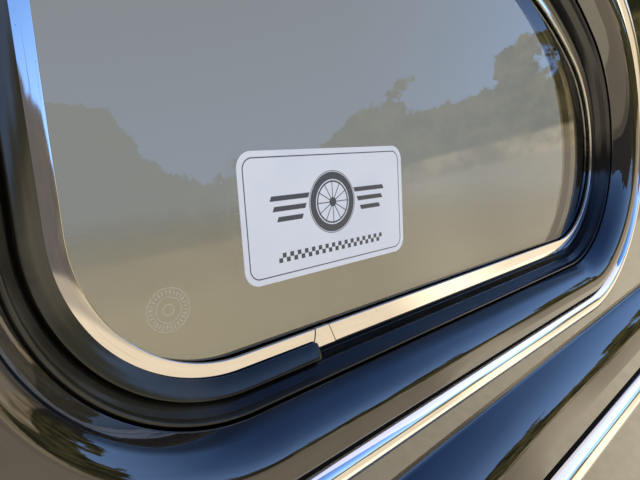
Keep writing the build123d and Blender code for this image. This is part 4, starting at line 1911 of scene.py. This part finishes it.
@dataclass
class CabinLining:
    """Pleated trim board with its piping, and the cloth lining above it."""

    outline: Outline
    sweep: SweepTree
    repeat: RepeatTree
    cut_out: float = 44.3 * MM
    crease: float = math.radians(48)
    margin: float = 0.1 * MM
    board_fill: float = 0.7
    board_edges: tuple[tuple[int, ...], ...] = ((2, 9), (-2, -5, -9), (2, 5, 9, 20))
    board_top: tuple[int, ...] = (-75, -40, -6, -2)
    hem_marks: tuple[int, ...] = (-24, -14, -7, -1, 3, 7, 14)
    board_roll: float = 9 * MM
    board_base: float = 0.45
    pleat: float = 26 * MM
    pleat_depth: float = 3.6 * MM
    pleat_steps: tuple[float, ...] = (0.0, 0.05, 0.13, 0.26, 0.5, 0.74, 0.87, 0.95)
    pleat_power: float = 2.4
    pleat_drift: float = 0.1
    pleat_end: float = 6 * MM
    end_depth: float = 1.6 * MM
    pad_depth: float = 2.2 * MM
    pad_rise: Point = (1.2 * MM, 0.5 * MM)
    hem: float = 14 * MM
    cloth_fill: float = 0.9
    cloth_edge: tuple[int, ...] = (2, 5, 8)
    cloth_pitch: Point = (12 * MM, 15 * MM)
    cloth_roll: float = 12 * MM
    cloth_base: float = 0.4
    cloth_sag: Point = (0.3 * MM, 0.6 * MM)
    seam_rise: int = 118
    seam_marks: tuple[int, ...] = tuple(range(-9, 10, 2))
    seam_half: float = 3.2 * MM
    seam_depth: float = 2.6 * MM
    piping_steps: int = 46
    piping_inset: float = 0.2 * MM
    piping_share: float = 0.9
    piping_flat: float = 0.1 * MM
    piping_foot: float = 2.6 * MM
    stitch: float = 6 * MM
    stitch_half: Triple = (2.2 * MM, 0.55 * MM, 0.55 * MM)
    stitch_rise: float = 7 * MM
    stitch_sink: float = 1.1 * MM
    stitch_end: float = 12 * MM

    def __post_init__(self) -> None:
        """Takes the boards' limits from the CAD solids."""
        self.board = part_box("trim_board")
        self.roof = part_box("roof_lining")
        low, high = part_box("piping")
        self.piping_z = (low.z + high.z) / 2
        self.piping_radius = high.y - low.y

    def chain(self, split: float, side: Side) -> list[Point]:
        """Part of the cut-out's edge on one side of a level.

        Args:
            split: the level.
            side: the lower or the upper part.

        Returns:
            Its points (x, z), both crossings included.
        """
        ring = [(p.x, p.z) for p in self.outline.ring(self.cut_out)]
        inside = [(z < split) == (side is Side.LOWER) for _, z in ring]
        first = next(i for i in range(len(ring)) if inside[i] and not inside[i - 1])
        ring = ring[first:] + ring[:first]
        count = (inside[first:] + inside[:first]).index(False)
        crossings = []
        for a, b in ((ring[-1], ring[0]), (ring[count - 1], ring[count])):
            share = (split - a[1]) / (b[1] - a[1])
            crossings.append((a[0] + share * (b[0] - a[0]), split))
        return [crossings[0], *ring[:count], crossings[1]]

    def panel(
        self,
        name: str,
        side: Side,
        across: Iterable[float],
        up: Iterable[float],
        height: Callable[[float, float], float],
    ) -> Piece:
        """Closed board whose cabin face follows a height.

        Args:
            name: the piece's name.
            side: the lower board or the upper one.
            across: places of upright cuts.
            up: levels of flat cuts.
            height: gives the face's height at x and z.

        Returns:
            The piece.
        """
        lower = side is Side.LOWER
        low, high = self.board if lower else self.roof
        split, far = (high.z, low.z) if lower else (low.z, high.z)
        near_x, far_x = (low.x, high.x) if lower else (high.x, low.x)
        ends = [(near_x, far), (far_x, far), (far_x, split)]
        edge = self.chain(split, side)[::-1]
        work = bmesh.new()
        work.faces.new([work.verts.new((x, 0, z)) for x, z in (*ends, *edge, (near_x, split))])
        cuts = [((x, 0, 0), (1, 0, 0)) for x in self.inner(across, low.x, high.x)]
        cuts += [((0, 0, z), (0, 0, 1)) for z in self.inner(up, low.z, high.z)]
        for place, normal in cuts:
            every = work.verts[:] + work.edges[:] + work.faces[:]
            bmesh.ops.bisect_plane(work, geom=every, dist=1e-7, plane_co=place, plane_no=normal)
        made = bmesh.ops.extrude_face_region(work, geom=work.faces[:], use_keep_orig=True)
        for item in made["geom"]:
            if isinstance(item, bmesh.types.BMVert):
                item.co.y = height(item.co.x, item.co.z)
        return meshed(name, work, self.crease)

    def inner(self, places: Iterable[float], low: float, high: float) -> list[float]:
        """Places in order, those at or past a board's edges left out."""
        return sorted(p for p in places if low + self.margin < p < high - self.margin)

    def pleated(self, x: float, z: float) -> float:
        """Height of the trim board's face: sewn pleats above the piping, a plain pad below.

        Args:
            x: place along the board.
            z: place up it.

        Returns:
            The height inboard.
        """
        low, high = self.board
        edge = min(x - low.x, high.x - x, z - low.z)
        roll = 1.0 - max(0.0, 1.0 - edge / self.board_roll) ** 2
        share = ((x - low.x) / self.pleat) % 1.0
        puff = 1.0 - abs(2.0 * share - 1.0) ** self.pleat_power
        above = (z - self.piping_z) / self.hem
        fade = clamped(above) * clamped((high.z - z) / self.pleat_end)
        drift = waver(x, z, 23.0, 3.0, 41.0)
        if above > 0:
            full = 1.0 - self.pleat_drift + self.pleat_drift * drift
            depth = self.pleat_depth * (1.0 - puff * full) * fade + self.end_depth * (1.0 - fade)
        else:
            rise, uneven = self.pad_rise
            depth = self.pad_depth - (rise + uneven * drift) * clamped(-above) * roll
        return (high.y - depth) * (self.board_base + (1.0 - self.board_base) * roll)

    def stretched(self, x: float, z: float) -> float:
        """Height of the lining's face: cloth drawn over a thin pad, with a listing seam.

        Args:
            x: place along the lining.
            z: place up it.

        Returns:
            The height inboard.
        """
        low, high = self.roof
        edge = min(x - low.x, high.x - x, high.z - z)
        roll = 1.0 - max(0.0, 1.0 - edge / self.cloth_roll) ** 2
        from_seam = z - low.z - self.seam_rise * MM
        seam = math.exp(-((from_seam / self.seam_half) ** 2))
        sag, uneven = self.cloth_sag
        sunk = sag + uneven * waver(z, x, 19.0, 5.0, 17.0) + self.seam_depth * seam
        return (high.y - sunk) * (self.cloth_base + (1.0 - self.cloth_base) * roll)

    def trim(self) -> None:
        """Builds the pleated board."""
        low, high = self.board
        count = int((high.x - low.x) / self.pleat) + 1
        left, right, foot = self.board_edges
        spots = [i + part for i in range(count) for part in self.pleat_steps]
        across = [low.x + self.pleat * spot for spot in spots]
        across += marks(low.x, *left) + marks(high.x, *right)
        up = marks(low.z, *foot) + marks(self.piping_z, *self.hem_marks)
        up += marks(high.z, *self.board_top)
        piece = self.panel("pleated_trim", Side.LOWER, across, up, self.pleated)
        dressed(piece, VINYL, "trim_board")

    def lining(self) -> None:
        """Builds the cloth lining."""
        low, high = self.roof
        wide, tall = self.cloth_pitch
        ends = [-step for step in self.cloth_edge]
        across = [low.x + wide * i for i in range(1, int((high.x - low.x) / wide) + 1)]
        across += marks(low.x, *self.cloth_edge) + marks(high.x, *ends)
        up = [low.z + tall * i for i in range(1, int((high.z - low.z) / tall) + 1)]
        up += marks(low.z + self.seam_rise * MM, *self.seam_marks) + marks(high.z, *ends)
        piece = self.panel("roof_cloth", Side.UPPER, across, up, self.stretched)
        dressed(piece, CLOTH, "roof_lining")

    def welt(self) -> None:
        """Builds the piping."""
        low, high = self.board
        half = self.piping_share * self.piping_radius
        arc = crowned((-half, 0), (half, 0), self.piping_radius - self.piping_flat, 16)
        section = [(-half, -self.piping_foot), *arc, (half, -self.piping_foot)][::-1]
        start, end = low.x + self.piping_inset, high.x - self.piping_inset
        part = (end - start) / self.piping_steps
        path = [
            Vector((start + part * i, high.y, self.piping_z)) for i in range(self.piping_steps + 1)
        ]
        run = Run("piping_welt", path, PIPING, ("piping",), closed=False)
        self.sweep.draw(run, section, -OUTBOARD)

    def stitches(self) -> None:
        """Builds the row of stitches above the piping."""
        low, high = self.board
        work = bmesh.new()
        bmesh.ops.create_uvsphere(work, u_segments=8, v_segments=5, radius=1.0)
        bmesh.ops.scale(work, vec=self.stitch_half, verts=work.verts)
        part = meshed("stitch", work)
        ends = (low.x + self.stitch_end, high.x - self.stitch_end)
        spot = (high.y - self.stitch_sink, self.piping_z + self.stitch_rise)
        row = [Vector((x, *spot)) for x in ends]
        count = int((ends[1] - ends[0]) / self.stitch)
        self.repeat.lay(Run("trim_stitches", row, THREAD, closed=False), part, count)

    def build(self) -> None:
        """Builds the boards, the piping and the stitches."""
        self.trim()
        self.lining()
        self.welt()
        self.stitches()


@dataclass
class Ray:
    """Ray of the world: its direction and what the direction says.

    Its rise is the sine of its height over the true horizon, out is its level share straight
    away from the car's side, and near is 1 towards the side and 0 towards the rear.
    """

    way: Wire
    rise: Wire
    out: Wire
    near: Wire


@dataclass
class OpenAir:
    """Surroundings: pale to the eye, and open air in what shines.

    Pairs of colours have the darker first, and pairs of numbers are where a soft edge starts
    and ends. Directions are the part's own: side runs to the rear, inboard into the cabin.
    """

    lean: float = math.radians(11.5)
    pale: Colour = (0.80, 0.86, 0.95)
    stops: tuple[tuple[float, Colour], ...] = (
        (0.0, (0.86, 1.42, 2.5)),
        (0.2, (0.56, 1.0, 1.95)),
        (0.45, (0.25, 0.50, 1.10)),
        (0.72, (0.11, 0.26, 0.70)),
        (1.0, (0.04, 0.10, 0.34)),
    )
    near_side: Point = (0.22, 0.66)
    rear_side: Point = (0.70, 0.80)
    rear_drop: float = 0.07
    clumps: Grain = Grain(5.0, 2.0, 0.5, 0.35, 0.7)
    twigs: Grain = Grain(34.0, 5.0, 0.7)
    tree_top: float = 0.10
    clump_rise: float = 0.10
    twig_rise: float = 0.08
    near_rise: float = 0.19
    tree_edge: Point = (-0.003, 0.006)
    leaves: Grain = Grain(24.0, 5.0, 0.65)
    leaf_edge: Point = (0.38, 0.64)
    foliage: tuple[Colour, Colour] = ((0.045, 0.05, 0.016), (0.36, 0.30, 0.11))
    near_trees: tuple[Colour, Colour] = ((0.10, 0.09, 0.09), (0.20, 0.17, 0.15))
    patches: Grain = Grain(13.0, 4.0, 0.6)
    verge_edge: Point = (0.36, 0.66)
    verge: tuple[Colour, Colour] = ((0.62, 0.48, 0.28), (1.7, 1.36, 0.86))
    verge_rise: Point = (-0.042, -0.022)
    far: tuple[Colour, Colour] = ((0.86, 0.70, 0.50), (1.04, 0.87, 0.64))
    gravel: Grain = Grain(60.0, 3.0, 0.7)
    close: tuple[Colour, Colour] = ((1.30, 1.12, 0.80), (1.85, 1.62, 1.22))
    close_edge: Point = (1.46, 1.56)
    least_drop: float = 0.02
    glare: Colour = (1.68, 1.41, 1.03)
    glare_end: Point = (0.81, 0.87)
    glare_fall: float = 0.75
    shade: Colour = (0.50, 0.43, 0.33)
    shade_rise: Point = (-0.10, -0.05)
    ground_edge: Point = (0.002, 0.014)
    recess: Colour = (0.02, 0.028, 0.045)
    recess_edge: Point = (-0.28, -0.08)
    recess_share: float = 0.75
    cabin: tuple[Colour, Colour] = ((0.62, 0.50, 0.36), (0.50, 0.48, 0.45))
    cabin_rise: Point = (-0.5, 0.4)
    cabin_edge: Point = (0.0, 0.10)

    def ground(self, graph: Graph, ray: Ray) -> Wire:
        """Colour of the ground: gravel close by, then paving with a glare to the rear.

        Args:
            graph: the world's graph.
            ray: the ray that meets it.

        Returns:
            The colour.
        """
        side = graph.split(ray.way)[0]
        far = graph.mix(self.patches.at(graph, ray.way), *self.far)
        close = graph.mix(self.gravel.at(graph, ray.way), *self.close)
        glare = side.band(*self.rear_side) - side.band(*self.glare_end) * self.glare_fall
        far = graph.mix(glare, far, self.glare)
        steps_out = ray.out / graph.most(0.0 - ray.rise, self.least_drop)
        return graph.mix(steps_out.band(*self.close_edge), close, far)

    def land(self, graph: Graph, ray: Ray) -> Wire:
        """Colour of the ground, the road's edge and the trees.

        Args:
            graph: the world's graph.
            ray: the ray that meets them.

        Returns:
            The colour, below the tree tops.
        """
        leaves, rise = self.leaves.at(graph, ray.way), ray.rise
        trees = graph.mix(leaves.band(*self.leaf_edge), *self.foliage)
        trees = graph.mix(ray.near, trees, graph.mix(leaves, *self.near_trees))
        verge = graph.mix(self.patches.at(graph, ray.way).band(*self.verge_edge), *self.verge)
        scene = graph.mix(rise.band(*self.verge_rise), self.ground(graph, ray), verge)
        scene = graph.mix(ray.near * rise.band(*self.shade_rise), scene, self.shade)
        return graph.mix(rise.band(*self.ground_edge), scene, trees)

    def shine(self, graph: Graph, way: Wire) -> Wire:
        """Colour of what shines: land, sky, the window's own recess and the cabin.

        Args:
            graph: the world's graph.
            way: direction of the ray.

        Returns:
            The colour.
        """
        side, inboard, height = graph.split(way)
        c, s = math.cos(self.lean), math.sin(self.lean)
        rise = height * c - inboard * s - side.band(*self.rear_side) * self.rear_drop
        out = 0.0 - inboard * c - height * s
        near = 1.0 - side.band(*self.near_side)
        clumps = self.clumps.at(graph, way) * self.clump_rise
        twigs = (self.twigs.at(graph, way) - 0.5) * self.twig_rise
        top = self.tree_top + clumps + twigs + near * near * self.near_rise
        heaven = graph.read("ShaderNodeValToRGB", 0, {0: rise}, {"stops": self.stops})
        land = self.land(graph, Ray(way, rise, out, near))
        seen = graph.mix((rise - top).band(*self.tree_edge), land, heaven)
        shut = inboard.band(*self.recess_edge) * self.recess_share
        seen = graph.mix(shut, seen, self.recess)
        cabin = graph.mix(height.band(*self.cabin_rise), *self.cabin)
        return graph.mix(inboard.band(*self.cabin_edge), seen, cabin)

    def build(self) -> None:
        """Writes the world."""
        world = bpy.data.worlds.new("open_air")
        bpy.context.scene.world = world
        world.use_nodes = True
        graph = Graph(world.node_tree)
        shine = self.shine(graph, graph.read("ShaderNodeTexCoord", "Generated"))
        glossy = graph.read("ShaderNodeLightPath", "Is Glossy Ray")
        background = world.node_tree.nodes["Background"]
        graph.plug(background.inputs["Color"], graph.mix(glossy, self.pale, shine))
        background.inputs["Strength"].default_value = 1.0


@dataclass(frozen=True)
class Lamp:
    """Square lamp that is aimed at a point."""

    name: str
    size: float
    energy: float
    colour: Colour
    place: Triple
    aim: Triple = (0.0, 0.0, 0.0)

    def hang(self) -> Piece:
        """Adds the lamp.

        Returns:
            The lamp, turned to its aim.
        """
        data = bpy.data.lights.new(self.name, "AREA")
        data.size, data.energy, data.color = self.size, self.energy, self.colour
        lamp = linked(self.name, data)
        lamp.location = self.place
        aim = Vector(self.aim) - lamp.location
        lamp.rotation_euler = aim.to_track_quat("-Z", "Y").to_euler()
        return lamp


@dataclass
class Studio:
    """Pale floor, lamps and the camera."""

    outline: Outline
    floor_half: float = 4.0
    floor_fade: float = 0.8
    floor_colour: Colour = (0.80, 0.70, 0.53)
    floor_dull: float = 0.9
    eye: Triple = (-315.5 * MM, -30.5 * MM, 204.1 * MM)
    forward: Triple = (0.6463, 0.740, -0.1859)
    up: Triple = (0.1887, 0.081, 0.9785)
    lens: float = 27.06
    soft: Lamp = Lamp("soft_lamp", 1.6, 26.0, (1.0, 0.97, 0.92), (-0.6, 1.1, 1.6))
    sun: Lamp = Lamp("glint", 1.9, 9.0, (1.0, 0.84, 0.70), (1.92, -1.03, 1.2), (0.1, -0.07, -0.08))
    sunlit: tuple[str, ...] = ("bead_bright", "belt_bright")

    def camera(self) -> None:
        """Sets the camera where the photograph was taken from."""
        data = bpy.data.cameras.new("camera")
        data.lens, data.sensor_width, data.clip_start = self.lens, 36.0, 10 * MM
        view = linked("camera", data)
        forward = Vector(self.forward).normalized()
        right = forward.cross(Vector(self.up)).normalized()
        turn = Matrix((right, right.cross(forward), -forward)).transposed().to_4x4()
        turn.translation = self.outline.put(*self.eye)
        view.matrix_world = turn
        bpy.context.scene.camera = view

    def floor(self) -> None:
        """Lays a pale floor under the part's lower edge, which fades out and never shines."""
        low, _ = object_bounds()
        half = self.floor_half
        corners = [(-half, -half), (half, -half), (half, half), (-half, half)]
        mesh = bpy.data.meshes.new("floor")
        mesh.from_pydata([(x, y, low[2]) for x, y in corners], [], [(0, 1, 2, 3)])
        made = bpy.data.materials.new("floor")
        made.use_nodes = True
        graph = Graph(made.node_tree)
        shader = made.node_tree.nodes["Principled BSDF"]
        graph.plug(shader.inputs["Base Color"], self.floor_colour)
        graph.plug(shader.inputs["Roughness"], self.floor_dull)
        clear = graph.node("ShaderNodeBsdfTransparent")
        glossy = graph.read("ShaderNodeLightPath", "Is Glossy Ray")
        x, y, _ = graph.split(graph.place())
        fade = graph.length(x, y).band(self.floor_fade, half)
        graph.show(graph.blend(graph.most(glossy, fade), shader, clear))
        mesh.materials.append(made)
        linked("floor", mesh)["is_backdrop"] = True

    def lamps(self) -> None:
        """Adds a soft lamp from behind, and the sun's glint on the bright mouldings alone."""
        self.soft.hang().visible_glossy = False
        lit = bpy.data.collections.new("mouldings")
        for name in self.sunlit:
            lit.objects.link(bpy.data.objects[name])
        self.sun.hang().light_linking.receiver_collection = lit

    def build(self) -> None:
        """Sets the stage, its light and the camera."""
        self.floor()
        OpenAir().build()
        self.lamps()
        self.camera()
        bpy.context.scene.view_settings.view_transform = "Standard"


def main() -> None:
    """Builds the looks around the frame, piece by piece."""
    logging.basicConfig(level=logging.INFO, format="%(name)s %(message)s")
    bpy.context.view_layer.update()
    outline = Outline()
    outline.settle()
    low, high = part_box("decal")
    glass = TintedGlass(mark=outline.put(-229 * MM, -92.7 * MM, 0))
    sticker = PrintedVinyl(middle=(low + high) / 2, fall=outline.fall)
    sweep, repeat = SweepTree(), RepeatTree()
    body = BodySide(outline)
    body.build()
    Glazing(outline, sweep).build()
    BodyMouldings(outline, sweep, body).build()
    GarnishMoulding(outline, sweep, repeat).build()
    CabinLining(outline, sweep, repeat).build()
    carried = {"inner_panel": PRIMER, "glass": glass, "decal": sticker}
    for name, finish in carried.items():
        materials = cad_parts[name].data.materials
        materials.clear()
        materials.append(finish.material())
    Studio(outline).build()


if __name__ == "__main__":
    main()
